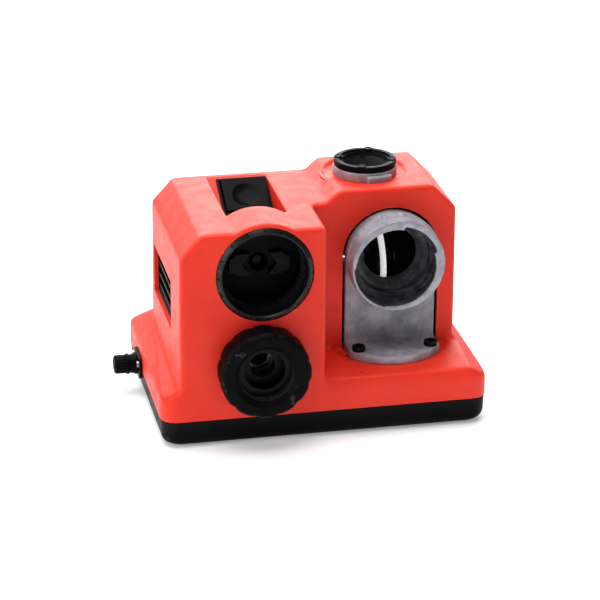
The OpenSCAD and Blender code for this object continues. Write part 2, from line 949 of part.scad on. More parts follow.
module gland_plate() {
    color(port_black)
    difference() {
        box(wall_x - 2.2, wall_x - 0.02, gland_y - 12, gland_y + 12, gland_z - 7, gland_z + 7.5);
        x_rod(gland_thread_r + 0.1, -120, -90, gland_y, gland_z);
        for (side = [-1, 1]) x_rod(1.2, -120, -90, gland_y + side * 9, gland_z + 3);
    }
}

module gland_body() {
    out = wall_x - 2.22;
    color([0.12, 0.12, 0.13])
    difference() {
        union() {
            x_rod(gland_thread_r, out, wall_x + 8, gland_y, gland_z);
            translate([out - 5, gland_y, gland_z]) rotate([0, 90, 0]) cylinder(r1 = 5.8, r2 = 7.3, h = 5);
            x_rod(6.8, out - 7, out - 5 + EPS, gland_y, gland_z);
            x_rod(4.6, out - 13, out - 6, gland_y, gland_z);
            x_rod(7.4, wall_x + 4.2, wall_x + 7.5, gland_y, gland_z);
        }
        x_rod(cord_r, -140, -80, gland_y, gland_z);
    }
}

module gland_nut() {
    out = wall_x - 2.22;
    color(port_black)
    difference() {
        x_rod(6.2, out - 15, out - 7.05, gland_y, gland_z);
        x_rod(4.65, out - 13.1, out, gland_y, gland_z);
        x_rod(cord_r, -140, -80, gland_y, gland_z);
    }
}

module gland_screws() {
    color(steel_grey)
    for (side = [-1, 1]) {
        x_rod(2, wall_x - 3.4, wall_x - 2.22, gland_y + side * 9, gland_z + 3);
        x_rod(1.18, wall_x - 2.3, wall_x - 0.02, gland_y + side * 9, gland_z + 3);
    }
}

base_tray();
base_feet();
foot_screws();
shell_screws();
body_shell();
vent_grille();
switch_housing();
switch_rocker();
setting_port_housing();
setting_port_ring();
alignment_finger_left();
alignment_finger_right();
setting_stop();
storage_socket();
chuck_body();
chuck_grip_ring();
draw_sleeve();
collet();
grinding_port_bracket();
port_clamp_plate();
port_screws();
thinning_port_base();
thinning_port_ring();
thinning_ring_screws();
thinning_retainer();
wheel_hub();
wheel_rim();
wheel_flange();
wheel_nut();
motor_shaft();
rotor_core();
stator_core();
stator_windings();
motor_cap_front();
motor_cap_rear();
bearing_front();
bearing_rear();
cooling_fan();
motor_bolts();
motor_bracket();
bracket_screws();
dust_partition();
run_capacitor();
capacitor_clip();
terminal_block();
gland_plate();
gland_body();
gland_nut();
gland_screws();
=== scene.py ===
"""Looks for a bench drill bit sharpener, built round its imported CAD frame.

Sizes are in millimetres until a mesh is made."""

import json
import math

import bmesh
import bpy
from mathutils import Matrix, Vector, noise

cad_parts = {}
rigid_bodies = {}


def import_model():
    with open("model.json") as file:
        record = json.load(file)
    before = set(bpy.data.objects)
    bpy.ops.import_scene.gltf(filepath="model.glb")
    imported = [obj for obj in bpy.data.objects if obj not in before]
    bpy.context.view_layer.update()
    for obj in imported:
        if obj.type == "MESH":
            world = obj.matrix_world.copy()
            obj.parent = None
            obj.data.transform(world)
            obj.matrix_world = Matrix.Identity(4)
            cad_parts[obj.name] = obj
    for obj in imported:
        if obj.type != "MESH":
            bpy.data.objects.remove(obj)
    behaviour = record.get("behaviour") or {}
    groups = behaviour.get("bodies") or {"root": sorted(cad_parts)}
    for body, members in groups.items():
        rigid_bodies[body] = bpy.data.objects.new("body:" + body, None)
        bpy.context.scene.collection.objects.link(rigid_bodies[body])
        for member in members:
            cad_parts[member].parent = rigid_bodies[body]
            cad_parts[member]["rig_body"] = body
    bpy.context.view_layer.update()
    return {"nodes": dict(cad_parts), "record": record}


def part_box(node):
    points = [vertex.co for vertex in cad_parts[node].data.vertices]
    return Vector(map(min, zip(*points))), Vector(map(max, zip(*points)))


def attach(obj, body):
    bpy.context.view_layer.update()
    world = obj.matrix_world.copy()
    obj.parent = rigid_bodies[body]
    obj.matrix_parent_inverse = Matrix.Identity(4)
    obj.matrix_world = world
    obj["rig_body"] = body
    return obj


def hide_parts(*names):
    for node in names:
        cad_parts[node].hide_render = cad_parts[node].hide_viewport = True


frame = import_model()

MM = 0.001
ON_AXIS = 1e-6               # a radius below this is a point on the axis

# ---------- places, taken from the frame ----------


def node_box(node):
    low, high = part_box(node)
    return low / MM, high / MM


def middle(node):
    low, high = node_box(node)
    return (low + high) / 2


SHELL_LOW, SHELL_HIGH = node_box("body_shell")
RING_LOW, RING_HIGH = node_box("setting_port_ring")
GRIP_LOW, GRIP_HIGH = node_box("chuck_grip_ring")
TUBE_LOW, TUBE_HIGH = node_box("grinding_port_bracket")
TRAY_LOW, TRAY_HIGH = node_box("base_tray")

BODY_W = SHELL_HIGH.x - SHELL_LOW.x
BODY_D = SHELL_HIGH.y - SHELL_LOW.y
SEAM_Z = SHELL_LOW.z
RIGHT_TOP = SHELL_HIGH.z
LEFT_TOP = RIGHT_TOP - 7.5
BAND_Z = SEAM_Z + 14        # top of the skirt's upright band
SHELF_Z = SEAM_Z + 20.5     # front edge of the sloping shelf
SLOPE_TOP = SEAM_Z + 32     # back edge of the shelf
BLOCK_X = 93
FRONT_Y = -70
BACK_Y = 38
BLOCK_ROOT = 20             # the blocks start below the shelf
DRAFT = 1.6                 # how far the back wall leans out at its foot
SPLIT_X = -1.3              # right wall of the left block
WHEEL_FRONT_Y = -29         # front wall of the right block
CORNER_R = 10
RIGHT_TOP_X = (15.9, 76.2)
RIGHT_SIDE_X = (4.7, 91.8)
REAR_X = (-54, 24)          # the stretch that joins the blocks

SET_X = middle("setting_port_ring").x
SET_Z = middle("setting_port_ring").z
HOOD_R = 33.2
HOOD_BACK = -38
SET_BORE_R = 26.5
RING_HOLE_R = 30.75
NECK_HOLE_R = 9.1
SOCKET_X = middle("storage_socket").x
SOCKET_Z = (node_box("storage_socket")[0].z + node_box("storage_socket")[1].z) / 2
SOCKET_BACK = node_box("storage_socket")[1].y
SOCKET_HOLE_R = 26.7
GRIP_BORE_R = 22.0
GRIP_MOUTH_R = 17.2
GRIP_STEP_Y = -83.4         # back of the grip's front wall

PORT_X = middle("grinding_port_bracket").x
TUBE_R = (TUBE_HIGH.x - TUBE_LOW.x) / 2
PORT_Z = TUBE_HIGH.z - TUBE_R
PIVOT_Y = -22
PIVOT_HOLE_R = 10.05
PLATE_FRONT = -29.4
PLATE_T = 4
PLATE_HW = 29.4
TUBE_FRONT = TUBE_HIGH.y - 25.35
TUBE_BACK = PLATE_FRONT - 6
CAM_DEPTH = 4
CHAMBER_R = 27.8
SEAT_R = 23.8
SEAT_FRONT = -38            # step that stops the chuck
SEAT_BACK = PLATE_FRONT - 2
THROAT_R = (21, 16.9)       # the cone behind the seat, at its front and back
PAD_Z = 40.3
FOOT_T = 5.6
FOOT_ARC_R = 37
ROOT_R = 2.4                # fillet between plate and foot
ARCH_R = 31.3
SCREW_DX = 23.5
SCREW_DY = -22.5

THIN_X = 40.5
THIN_Y = 8
THIN_TURN = math.radians(-20)
THIN_FLOOR = 146.5
THIN_SPLIT = 152.5          # where the black ring meets its alloy base
THIN_BORE_R = 14.2
THIN_HOLE_R = 19
THIN_SCREW_R = 17.3         # the four screws stand on this circle
RECESS_R = 26.5

POCKET = (-58, -20)
POCKET_REAR = 31.5
POCKET_TILT = math.radians(26)
SWITCH = Vector((-36.5, 14.5, 132.6))
ROCKER_PIVOT = -2
ROCKER_REST = math.radians(8)

GLAND = (20, 20)
GLAND_HOLE_R = 5.7
CORNERS = ((-1, -1), (-1, 1), (1, -1), (1, 1))
POST_AT = (94, 60)          # shell screws, feet and bench holes, to either side of the middle
FOOT_AT = (84, 50)
BENCH_AT = (70, 52)
POST_R = 4.5
TRAY_FLOOR = 3
VENT = ((-100, -80), (-36.5, 29.5), (66.5, 99))


# ---------- mesh helpers ----------


def add_object(name, bm):
    """A new object from a bmesh drawn in millimetres."""
    bmesh.ops.recalc_face_normals(bm, faces=bm.faces)
    bmesh.ops.scale(bm, vec=(MM, MM, MM), verts=bm.verts)
    mesh = bpy.data.meshes.new(name)
    bm.to_mesh(mesh)
    bm.free()
    obj = bpy.data.objects.new(name, mesh)
    bpy.context.scene.collection.objects.link(obj)
    return obj


def hull(name, points):
    bm = bmesh.new()
    for p in points:
        bm.verts.new(p)
    bmesh.ops.remove_doubles(bm, verts=bm.verts, dist=1e-4)
    bmesh.ops.convex_hull(bm, input=bm.verts)
    return add_object(name, bm)


def block(name, x, y, z):
    """A box cutter or blank between two values on each axis."""
    return hull(name, [(i, j, k) for i in x for j in y for k in z])


def prism(name, outline, plane, low, high):
    """A closed outline in the plane "yz", "xz" or "xy", drawn out along the third axis. It may be concave."""
    place = {
        "yz": lambda a, b, h: (h, a, b),
        "xz": lambda a, b, h: (a, h, b),
        "xy": lambda a, b, h: (a, b, h),
    }[plane]
    bm = bmesh.new()
    rows = [[bm.verts.new(place(a, b, h)) for a, b in outline] for h in (low, high)]
    count = len(outline)
    bm.faces.new(rows[0])
    bm.faces.new(rows[1][::-1])
    for i in range(count):
        j = (i + 1) % count
        bm.faces.new((rows[0][i], rows[1][i], rows[1][j], rows[0][j]))
    return add_object(name, bm)


def fillet(points, closed=False, steps=4):
    """Rounds the corners of a polyline: a point (a, b, r) gets radius r, and a point (a, b) stays sharp."""
    out = []
    count = len(points)
    for i, p in enumerate(points):
        here = Vector(p[:2])
        radius = p[2] if len(p) > 2 else 0
        ends = not closed and i in (0, count - 1)
        if radius == 0 or ends:
            out.append(tuple(here))
            continue
        before = (Vector(points[i - 1][:2]) - here).normalized()
        after = (Vector(points[(i + 1) % count][:2]) - here).normalized()
        half = before.angle(after) / 2
        reach = radius / math.tan(half)
        centre = here + (before + after).normalized() * (radius / math.sin(half))
        start = here + before * reach - centre
        stop = here + after * reach - centre
        turn = start.angle_signed(stop)
        for k in range(steps + 1):
            spin = Matrix.Rotation(-turn * k / steps, 2)
            out.append(tuple(centre + spin @ start))
    return out


def lathe(name, profile, axis, centre, segments=96, radius=None):
    """Turns a closed profile of (radius, height) round an axis.

    radius(angle, r, h) may change r on the way round. A profile that starts and ends on the axis makes a
    solid, any other one makes a ring."""
    bm = bmesh.new()
    rings = []
    for r, h in profile:
        if r < ON_AXIS:
            rings.append([bm.verts.new(axis_point(axis, centre, 0, 0, h))])
            continue
        ring = []
        for i in range(segments):
            angle = 2 * math.pi * i / segments
            here = radius(angle, r, h) if radius else r
            ring.append(bm.verts.new(axis_point(axis, centre, here, angle, h)))
        rings.append(ring)
    pairs = list(zip(rings, rings[1:]))
    if profile[0][0] > ON_AXIS:
        pairs.append((rings[-1], rings[0]))
    for a, b in pairs:
        for i in range(segments):
            j = (i + 1) % segments
            corners = [a[i % len(a)], a[j % len(a)], b[j % len(b)], b[i % len(b)]]
            unique = list(dict.fromkeys(corners))
            if len(unique) > 2:
                bm.faces.new(unique)
    return add_object(name, bm)


def axis_point(axis, centre, r, angle, h):
    a, b = r * math.cos(angle), r * math.sin(angle)
    if axis == "x":
        return (h, centre[0] + a, centre[1] + b)
    if axis == "y":
        return (centre[0] + a, h, centre[1] + b)
    return (centre[0] + a, centre[1] + b, h)


def rod(name, r, low, high, axis, centre, segments=96):
    return lathe(name, [(0, low), (r, low), (r, high), (0, high)], axis, centre, segments)


def rounded_rect(w, d, r, steps=6):
    """The outline of a rectangle with round corners, centred on the origin."""
    out = []
    for cx, cy, start in ((1, 1, 0), (-1, 1, 90), (-1, -1, 180), (1, -1, 270)):
        for k in range(steps + 1):
            angle = math.radians(start + 90 * k / steps)
            out.append((cx * (w / 2 - r) + r * math.cos(angle), cy * (d / 2 - r) + r * math.sin(angle)))
    return out


def loft(name, sections):
    """Joins outlines of equal length, each at its own height, and caps both ends."""
    bm = bmesh.new()
    rows = [[bm.verts.new((x, y, z)) for x, y in outline] for outline, z in sections]
    count = len(rows[0])
    for low, high in zip(rows, rows[1:]):
        for i in range(count):
            j = (i + 1) % count
            bm.faces.new((low[i], low[j], high[j], high[i]))
    bm.faces.new(rows[0][::-1])
    bm.faces.new(rows[-1])
    return add_object(name, bm)


def bake_modifiers(obj):
    """Applies the modifiers on an object to its mesh."""
    graph = bpy.context.evaluated_depsgraph_get()
    mesh = bpy.data.meshes.new_from_object(obj.evaluated_get(graph))
    obj.modifiers.clear()
    old = obj.data
    obj.data = mesh
    bpy.data.meshes.remove(old)
    return obj


def combine(obj, tool, operation):
    mod = obj.modifiers.new("combine", "BOOLEAN")
    mod.operation = operation
    mod.solver = "MANIFOLD"
    mod.object = tool
    bake_modifiers(obj)
    mesh = tool.data
    bpy.data.objects.remove(tool)
    bpy.data.meshes.remove(mesh)
    return obj


def cut(obj, *tools):
    for tool in tools:
        combine(obj, tool, "DIFFERENCE")
    return obj


def join(obj, *tools):
    for tool in tools:
        combine(obj, tool, "UNION")
    return obj


def keep(obj, tool):
    return combine(obj, tool, "INTERSECT")


def melt(obj, voxel, passes):
    """Remeshes to even quads and relaxes them, which rounds every edge and inner corner."""
    mod = obj.modifiers.new("voxels", "REMESH")
    mod.mode = "VOXEL"
    mod.voxel_size = voxel * MM
    mod.adaptivity = 0
    relax = obj.modifiers.new("relax", "SMOOTH")
    relax.factor = 0.5
    relax.iterations = passes
    return bake_modifiers(obj)


def thin_out(obj, ratio):
    mod = obj.modifiers.new("thin_out", "DECIMATE")
    mod.ratio = ratio
    return bake_modifiers(obj)


def soften(obj, width, segments=2, angle=35):
    """Breaks the sharp edges with a small round bevel."""
    bm = bmesh.new()
    bm.from_mesh(obj.data)
    bmesh.ops.remove_doubles(bm, verts=bm.verts, dist=1e-6)
    bmesh.ops.dissolve_limit(bm, angle_limit=math.radians(1), verts=bm.verts, edges=bm.edges)
    bm.to_mesh(obj.data)
    bm.free()
    mod = obj.modifiers.new("bevel", "BEVEL")
    mod.width = width * MM
    mod.segments = segments
    mod.limit_method = "ANGLE"
    mod.angle_limit = math.radians(angle)
    return bake_modifiers(obj)


def smooth(obj, angle=35):
    obj.data.shade_smooth()
    obj.data.set_sharp_from_angle(angle=math.radians(angle))
    return obj


def turned(obj, matrix):
    obj.data.transform(matrix)
    return obj


def roughen(obj, size, depth, seed=0):
    """Moves each point along its normal by a little noise, as a sand or die casting has."""
    offset = Vector((seed * 7.3, seed * 3.1, seed * 5.7))
    normals = [Vector(n.vector) for n in obj.data.vertex_normals]
    moved = []
    for v, normal in zip(obj.data.vertices, normals):
        coarse = noise.noise(v.co / (size * MM) + offset)
        fine = noise.noise(v.co / (size * 0.4 * MM) + offset)
        push = coarse + 0.5 * fine
        moved.extend(v.co + normal * push * depth * MM)
    obj.data.vertices.foreach_set("co", moved)
    return obj


def finish_piece(obj, body, slot, material, *nodes, angle=35):
    """Shades a piece, gives it its material, hides the CAD nodes that it stands for and says what it rides
    on.
    """
    smooth(obj, angle)
    obj.data.materials.clear()
    obj.data.materials.append(material)
    if nodes:
        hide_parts(*nodes)
    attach(obj, body)
    return obj


# ---------- materials ----------


BLACK = (0.0, 0.0, 0.0)
WHITE = (1.0, 1.0, 1.0)


class Finish:
    """A material's nodes, with short names for the ones that every finish uses."""

    def __init__(self, name):
        self.material = bpy.data.materials.new(name)
        self.material.use_nodes = True
        self.tree = self.material.node_tree
        self.surface = self.tree.nodes["Principled BSDF"]
        self.place = self.tree.nodes.new("ShaderNodeTexCoord").outputs["Object"]
        self.height = None

    def link(self, a, b):
        self.tree.links.new(a, b)

    def set(self, **values):
        for name, value in values.items():
            self.surface.inputs[name.replace("_", " ")].default_value = value

    def noise(self, size, detail=3, stretch=(1, 1, 1), rough=0.55):
        """Noise whose blotches are about size millimetres across."""
        mapping = self.tree.nodes.new("ShaderNodeMapping")
        mapping.inputs["Scale"].default_value = stretch
        self.link(self.place, mapping.inputs["Vector"])
        node = self.tree.nodes.new("ShaderNodeTexNoise")
        node.inputs["Scale"].default_value = 1 / (size * MM)
        node.inputs["Detail"].default_value = detail
        node.inputs["Roughness"].default_value = rough
        self.link(mapping.outputs["Vector"], node.inputs["Vector"])
        return node.outputs["Fac"]

    def cells(self, size):
        node = self.tree.nodes.new("ShaderNodeTexVoronoi")
        node.inputs["Scale"].default_value = 1 / (size * MM)
        self.link(self.place, node.inputs["Vector"])
        return node.outputs["Distance"]

    def bands(self, size, axis, distortion=0.0):
        node = self.tree.nodes.new("ShaderNodeTexWave")
        node.bands_direction = axis
        node.inputs["Scale"].default_value = math.pi / (10 * size * MM)
        node.inputs["Distortion"].default_value = distortion
        self.link(self.place, node.inputs["Vector"])
        return node.outputs["Fac"]

    def ramp(self, source, low, high, a=0.35, b=0.65):
        """Colours, or greys where low and high are numbers, between two values of the source."""
        node = self.tree.nodes.new("ShaderNodeValToRGB")
        for element, at, value in zip(node.color_ramp.elements, (a, b), (low, high)):
            element.position = at
            element.color = (*value, 1) if isinstance(value, tuple) else (value, value, value, 1)
        self.link(source, node.inputs["Fac"])
        return node.outputs["Color"]

    def mix(self, share, a, b, blend="MIX"):
        node = self.tree.nodes.new("ShaderNodeMix")
        node.data_type = "RGBA"
        node.blend_type = blend
        for value, socket in ((share, node.inputs[0]), (a, node.inputs[6]), (b, node.inputs[7])):
            if isinstance(value, bpy.types.NodeSocket):
                self.link(value, socket)
            elif isinstance(value, tuple):
                socket.default_value = (*value, 1)
            else:
                socket.default_value = value
        return node.outputs[2]

    def edges(self, low=0.505, high=0.56):
        """White on worn convex edges, black elsewhere."""
        node = self.tree.nodes.new("ShaderNodeNewGeometry")
        return self.ramp(node.outputs["Pointiness"], 0.0, 1.0, low, high)

    def colour(self, socket):
        self.link(socket, self.surface.inputs["Base Color"])

    def roughness(self, socket):
        self.link(socket, self.surface.inputs["Roughness"])

    def bump(self, source, depth):
        """Adds relief of a depth in millimetres on top of any relief given before."""
        node = self.tree.nodes.new("ShaderNodeBump")
        node.inputs["Strength"].default_value = 1.0
        node.inputs["Distance"].default_value = depth * MM
        self.link(source, node.inputs["Height"])
        if self.height is not None:
            self.link(self.height, node.inputs["Normal"])
        self.height = node.outputs["Normal"]
        self.link(self.height, self.surface.inputs["Normal"])


def orange_plastic():
    """Satin moulded orange-red plastic with a fine spark texture and paler worn edges."""
    f = Finish("orange_plastic")
    body = f.ramp(f.noise(38, 2), (0.77, 0.027, 0.010), (0.83, 0.034, 0.013))
    fine = f.ramp(f.noise(2.2, 4), (0.90, 0.90, 0.90), WHITE, 0.3, 0.6)
    worn = f.mix(f.edges(0.52, 0.62), body, (0.93, 0.11, 0.06))
    f.colour(f.mix(0.35, worn, f.mix(1.0, worn, fine, "MULTIPLY")))
    f.roughness(f.ramp(f.noise(9, 4), 0.42, 0.52))
    f.set(Specular_IOR_Level=0.24)
    f.bump(f.noise(0.55, 2), 0.035)
    f.bump(f.noise(26, 2), 0.12)
    return f.material


def black_plastic(name, rough=(0.36, 0.5), tone=0.0018, shine=0.04):
    """Moulded black plastic: faint grey scuffs, a fine texture and lighter edges."""
    f = Finish(name)
    body = f.ramp(f.noise(14, 3), (tone, tone, tone * 1.08), (tone * 1.5, tone * 1.5, tone * 1.65))
    scuffs = f.ramp(f.noise(3.0, 6, (1, 1, 0.25), 0.7), BLACK, WHITE, 0.62, 0.80)
    marked = f.mix(f.mix(0.08, BLACK, scuffs), body, (0.05, 0.05, 0.055))
    f.colour(f.mix(f.edges(0.53, 0.64), marked, (0.03, 0.03, 0.034)))
    f.roughness(f.ramp(f.noise(5, 4), *rough))
    f.set(Specular_IOR_Level=shine)
    f.bump(f.noise(0.5, 2), 0.03)
    f.bump(f.noise(11, 2), 0.05)
    return f.material


def rubber():
    """Dull dark rubber of the feet."""
    f = Finish("rubber")
    f.colour(f.ramp(f.noise(4, 5), (0.016, 0.016, 0.016), (0.030, 0.029, 0.028)))
    f.roughness(f.ramp(f.noise(2, 3), 0.75, 0.9))
    f.bump(f.noise(0.6, 3), 0.06)
    return f.material


def cast_alloy():
    """Die-cast zinc or aluminium: blotchy blue-grey skin, flow marks and a blasted grain."""
    f = Finish("cast_alloy")
    blotch = f.ramp(f.noise(11, 5, rough=0.65), (0.25, 0.256, 0.29), (0.42, 0.43, 0.48), 0.36, 0.66)
    streak = f.ramp(f.noise(7, 4, (1, 1, 0.3)), (0.72, 0.73, 0.76), WHITE, 0.35, 0.6)
    skin = f.mix(0.8, blotch, streak, "MULTIPLY")
    speck = f.ramp(f.noise(0.7, 2), (0.75, 0.75, 0.77), WHITE, 0.36, 0.5)
    f.colour(f.mix(f.edges(0.52, 0.60), f.mix(0.6, skin, speck, "MULTIPLY"), (0.36, 0.375, 0.41)))
    f.set(Metallic=0.12, Specular_IOR_Level=0.12)
    f.roughness(f.ramp(f.noise(5, 5), 0.46, 0.66))
    f.bump(f.noise(0.45, 2), 0.05)
    f.bump(f.noise(4.5, 4), 0.14)
    return f.material


def machined_alloy():
    """The turned face of the casting: paler, with fine tool rings."""
    f = Finish("machined_alloy")
    f.colour(f.ramp(f.noise(6, 4), (0.24, 0.245, 0.275), (0.36, 0.365, 0.40)))
    f.set(Metallic=0.35, Specular_IOR_Level=0.3)
    f.roughness(f.ramp(f.noise(1.2, 3), 0.34, 0.46))
    f.bump(f.noise(0.35, 2), 0.03)
    return f.material


def steel(name="steel", tone=0.5, rough=(0.24, 0.38)):
    """Machined steel with short drawn scratches along X."""
    f = Finish(name)
    low = (tone * 0.82, tone * 0.83, tone * 0.86)
    high = (tone * 1.08, tone * 1.09, tone * 1.12)
    f.colour(f.ramp(f.noise(3, 4, (0.12, 1, 1)), low, high))
    f.set(Metallic=1.0)
    f.roughness(f.ramp(f.noise(1.4, 4, (0.1, 1, 1)), *rough))
    f.bump(f.noise(0.5, 2, (0.08, 1, 1)), 0.02)
    return f.material


def lamination():
    """Stacked steel sheets, seen as thin lines round the core."""
    f = Finish("lamination")
    lines = f.bands(0.5, "X", 0.4)
    f.colour(f.ramp(lines, (0.10, 0.105, 0.115), (0.34, 0.35, 0.37), 0.2, 0.7))
    f.set(Metallic=0.9)
    f.roughness(f.ramp(f.noise(2, 3), 0.4, 0.6))
    f.bump(lines, 0.08)
    return f.material


def copper():
    """Enamelled wire laid side by side."""
    f = Finish("copper")
    wires = f.bands(0.7, "DIAGONAL", 1.5)
    f.colour(f.ramp(wires, (0.18, 0.05, 0.015), (0.62, 0.24, 0.08), 0.15, 0.7))
    f.set(Metallic=0.8, Coat_Weight=0.4)
    f.roughness(f.ramp(f.noise(2, 3), 0.28, 0.42))
    f.bump(wires, 0.25)
    return f.material


def abrasive():
    """Pale plated grit, with bright crystal faces standing out of the bond, and a glow of its own: painted
    light that brightens the rim.
    """
    f = Finish("abrasive")
    grit = f.cells(0.55)
    f.colour(f.ramp(grit, (0.97, 0.96, 0.93), (0.80, 0.79, 0.76), 0.2, 0.8))
    # The emission is painted light: the rim glows brighter than the lamps alone make it.
    f.set(Emission_Color=(1.0, 0.99, 0.96, 1), Emission_Strength=0.5)
    f.roughness(f.ramp(f.noise(0.8, 3), 0.35, 0.6))
    f.bump(grit, 0.12)
    return f.material


def white_case():
    """The capacitor's plain plastic can."""
    f = Finish("white_case")
    f.colour(f.ramp(f.noise(9, 3), (0.66, 0.65, 0.61), (0.78, 0.77, 0.74)))
    f.roughness(f.ramp(f.noise(4, 3), 0.30, 0.42))
    f.bump(f.noise(1.2, 2), 0.03)
    return f.material


def painted_inside_shade():
    """The inside of the shell, painted near black: painted shade for the hollow behind the openings."""
    f = Finish("painted_inside_shade")
    # Near-black colour: painted shade of the hollow.
    f.colour(f.ramp(f.noise(8, 5), (0.005, 0.004, 0.004), (0.016, 0.010, 0.009)))
    f.roughness(f.ramp(f.noise(2, 3), 0.75, 0.95))
    f.set(Specular_IOR_Level=0.1)
    f.bump(f.noise(0.8, 3), 0.08)
    return f.material


def painted_bore_shade():
    """The bore of the casting, painted dark: painted shade inside the tube."""
    f = Finish("painted_bore_shade")
    # Dark grey colour: painted shade of the bore.
    f.colour(f.ramp(f.noise(6, 5), (0.022, 0.022, 0.025), (0.085, 0.088, 0.10)))
    f.set(Metallic=0.3, Specular_IOR_Level=0.3)
    f.roughness(f.ramp(f.noise(3, 4), 0.42, 0.62))
    f.bump(f.noise(0.5, 2), 0.05)
    return f.material


def floor_paper():
    """Matt white paper, with a little light of its own so that the background stays white."""
    f = Finish("floor_paper")
    f.colour(f.ramp(f.noise(60, 3), (0.93, 0.93, 0.935), (0.95, 0.95, 0.955)))
    f.set(Roughness=0.9, Specular_IOR_Level=0.1, Emission_Color=(1, 1, 1, 1), Emission_Strength=0.22)
    f.bump(f.noise(4, 2), 0.05)
    return f.material


def index_red():
    """The dark red of the index pips."""
    f = Finish("index_red")
    f.colour(f.ramp(f.noise(0.6, 3), (0.10, 0.004, 0.003), (0.22, 0.010, 0.006)))
    f.roughness(f.ramp(f.noise(0.5, 2), 0.4, 0.6))
    return f.material


FINISHES = {
    "shell_orange": orange_plastic(),
    "black_plastic": black_plastic("black_plastic"),
    "ring_plastic": black_plastic("ring_plastic", (0.24, 0.34), 0.002, 0.24),
    "rocker_plastic": black_plastic("rocker_plastic", (0.18, 0.26), 0.002, 0.035),
    "rubber_foot": rubber(),
    "cast_alloy": cast_alloy(),
    "black_screw": steel("black_screw", 0.010, (0.4, 0.55)),
    "steel": steel(),
    "lamination": lamination(),
    "copper_winding": copper(),
    "abrasive_rim": abrasive(),
    "capacitor_case": white_case(),
}
MACHINED = machined_alloy()
INSIDE_SHADE = painted_inside_shade()
BORE_SHADE = painted_bore_shade()
INDEX_RED = index_red()


def dress_cad_nodes():
    """Gives each CAD node the finish of its slot."""
    for part in frame["record"]["subparts"]:
        obj = frame["nodes"][part["node"]]
        obj.data.materials.clear()
        obj.data.materials.append(FINISHES[part["material_slot"]])


def black_piece(obj, body, node, angle=35):
    """Finishes a piece in the black plastic that most of the fittings are moulded in."""
    return finish_piece(obj, body, "black_plastic", FINISHES["black_plastic"], node, angle=angle)


def softened_copy(node, width, segments=2, finish=None):
    """A copy of a CAD node with its edges broken, which stands for the node."""
    source = frame["nodes"][node]
    obj = bpy.data.objects.new(node + "_finished", source.data.copy())
    bpy.context.scene.collection.objects.link(obj)
    soften(obj, width, segments)
    part = next(p for p in frame["record"]["subparts"] if p["node"] == node)
    slot = part["material_slot"]
    return finish_piece(obj, source["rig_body"], slot, FINISHES[finish or slot], node)


# ---------- shell ----------


def shell_blank():
    """The outside of the shell as one solid with sharp edges."""
    band = rounded_rect(BODY_W, BODY_D, CORNER_R)
    solid = loft("body_shell_skin", [(band, SEAM_Z - 4), (band, BAND_Z)])
    shelf = [(s * BLOCK_X, FRONT_Y + 0.5, SHELF_Z) for s in (-1, 1)]
    shelf += [(s * BLOCK_X, BACK_Y + 1, SLOPE_TOP) for s in (-1, 1)]
    top = [(x, y, BAND_Z - 0.5) for x, y in band] + [(x, y, BAND_Z) for x, y in band]
    join(solid, hull("skirt_slope", top + shelf))
    join(solid, hull("left_block", left_block_points()))
    join(solid, hull("rear_block", [
        *[(x, y, BLOCK_ROOT + 2) for x in REAR_X for y in (WHEEL_FRONT_Y, BACK_Y + DRAFT)],
        *[(x, y, LEFT_TOP) for x in REAR_X for y in (WHEEL_FRONT_Y, BACK_Y)],
    ]))
    join(solid, hull("right_block", right_block_points()))
    return solid


def left_block_points():
    """Walls with a little draft, and a chamfer along the left edge of the top."""
    chamfer_w, chamfer_h = 13.6, 15.1
    foot_y = (FRONT_Y - 0.9, BACK_Y + DRAFT)
    points = [(x, y, BLOCK_ROOT) for x in (-BLOCK_X - 0.5, SPLIT_X) for y in foot_y]
    points += [(-BLOCK_X, y, LEFT_TOP - chamfer_h) for y in (FRONT_Y, BACK_Y + 0.4)]
    points += [(x, y, LEFT_TOP) for x in (-BLOCK_X + chamfer_w, SPLIT_X) for y in (FRONT_Y, BACK_Y)]
    return points


def right_block_points():
    """The same for the wheel's block, whose top has a chamfer on both sides."""
    left_x, right_x = RIGHT_SIDE_X
    left_chamfer_h, right_chamfer_h = 10, 16
    walls_y = (WHEEL_FRONT_Y, BACK_Y)
    foot_y = (WHEEL_FRONT_Y - 0.4, BACK_Y + DRAFT)
    points = [(x, y, BLOCK_ROOT) for x in (left_x, right_x + 0.8) for y in foot_y]
    points += [(right_x, y, RIGHT_TOP - right_chamfer_h) for y in walls_y]
    points += [(left_x, y, RIGHT_TOP - left_chamfer_h) for y in walls_y]
    points += [(x, y, RIGHT_TOP) for x in RIGHT_TOP_X for y in walls_y]
    return points


def pocket_floor(y):
    """The height of the pocket's sloping floor."""
    return SWITCH.z + (y - SWITCH.y) * math.tan(POCKET_TILT)


def pocket_cutter():
    """The hollow behind the hood, with a sloping floor that carries the switch."""
    above, level = 175, pocket_floor(0)
    slope = [(POCKET_REAR, above), (POCKET_REAR, pocket_floor(POCKET_REAR)), (0, level)]
    return prism("pocket", slope + [(HOOD_BACK, level), (HOOD_BACK, above)], "yz", *POCKET)


def rooms():
    """The hollow inside of the shell, open at the seam: outlines in a plane, and their reach across it."""
    z0 = SEAM_Z - 8
    skirt = [(-102, z0), (-102, BAND_Z - 3), (102, BAND_Z - 3), (102, z0)]
    slope = [(-67.5, z0), (-67.5, 35), (-40, 36.5), (32, 36.5), (32, 45), (37, 45), (66, 30), (66, z0)]
    left = [(-90, z0), (-90, 123), (-77, 137.5), (-4.6, 137.5), (-4.6, z0)]
    right = [(-10, z0), (-10, 137.5), (12, 137.5), (18, 145), (74, 145), (88.5, 130), (88.5, z0)]
    return [
        ("skirt_room", skirt, "xz", -68, 68),
        ("slope_room", slope, "yz", -90, 89),
        ("left_room", left, "xz", -66.6, 35),
        ("right_room", right, "xz", -25.8, 35),
    ]


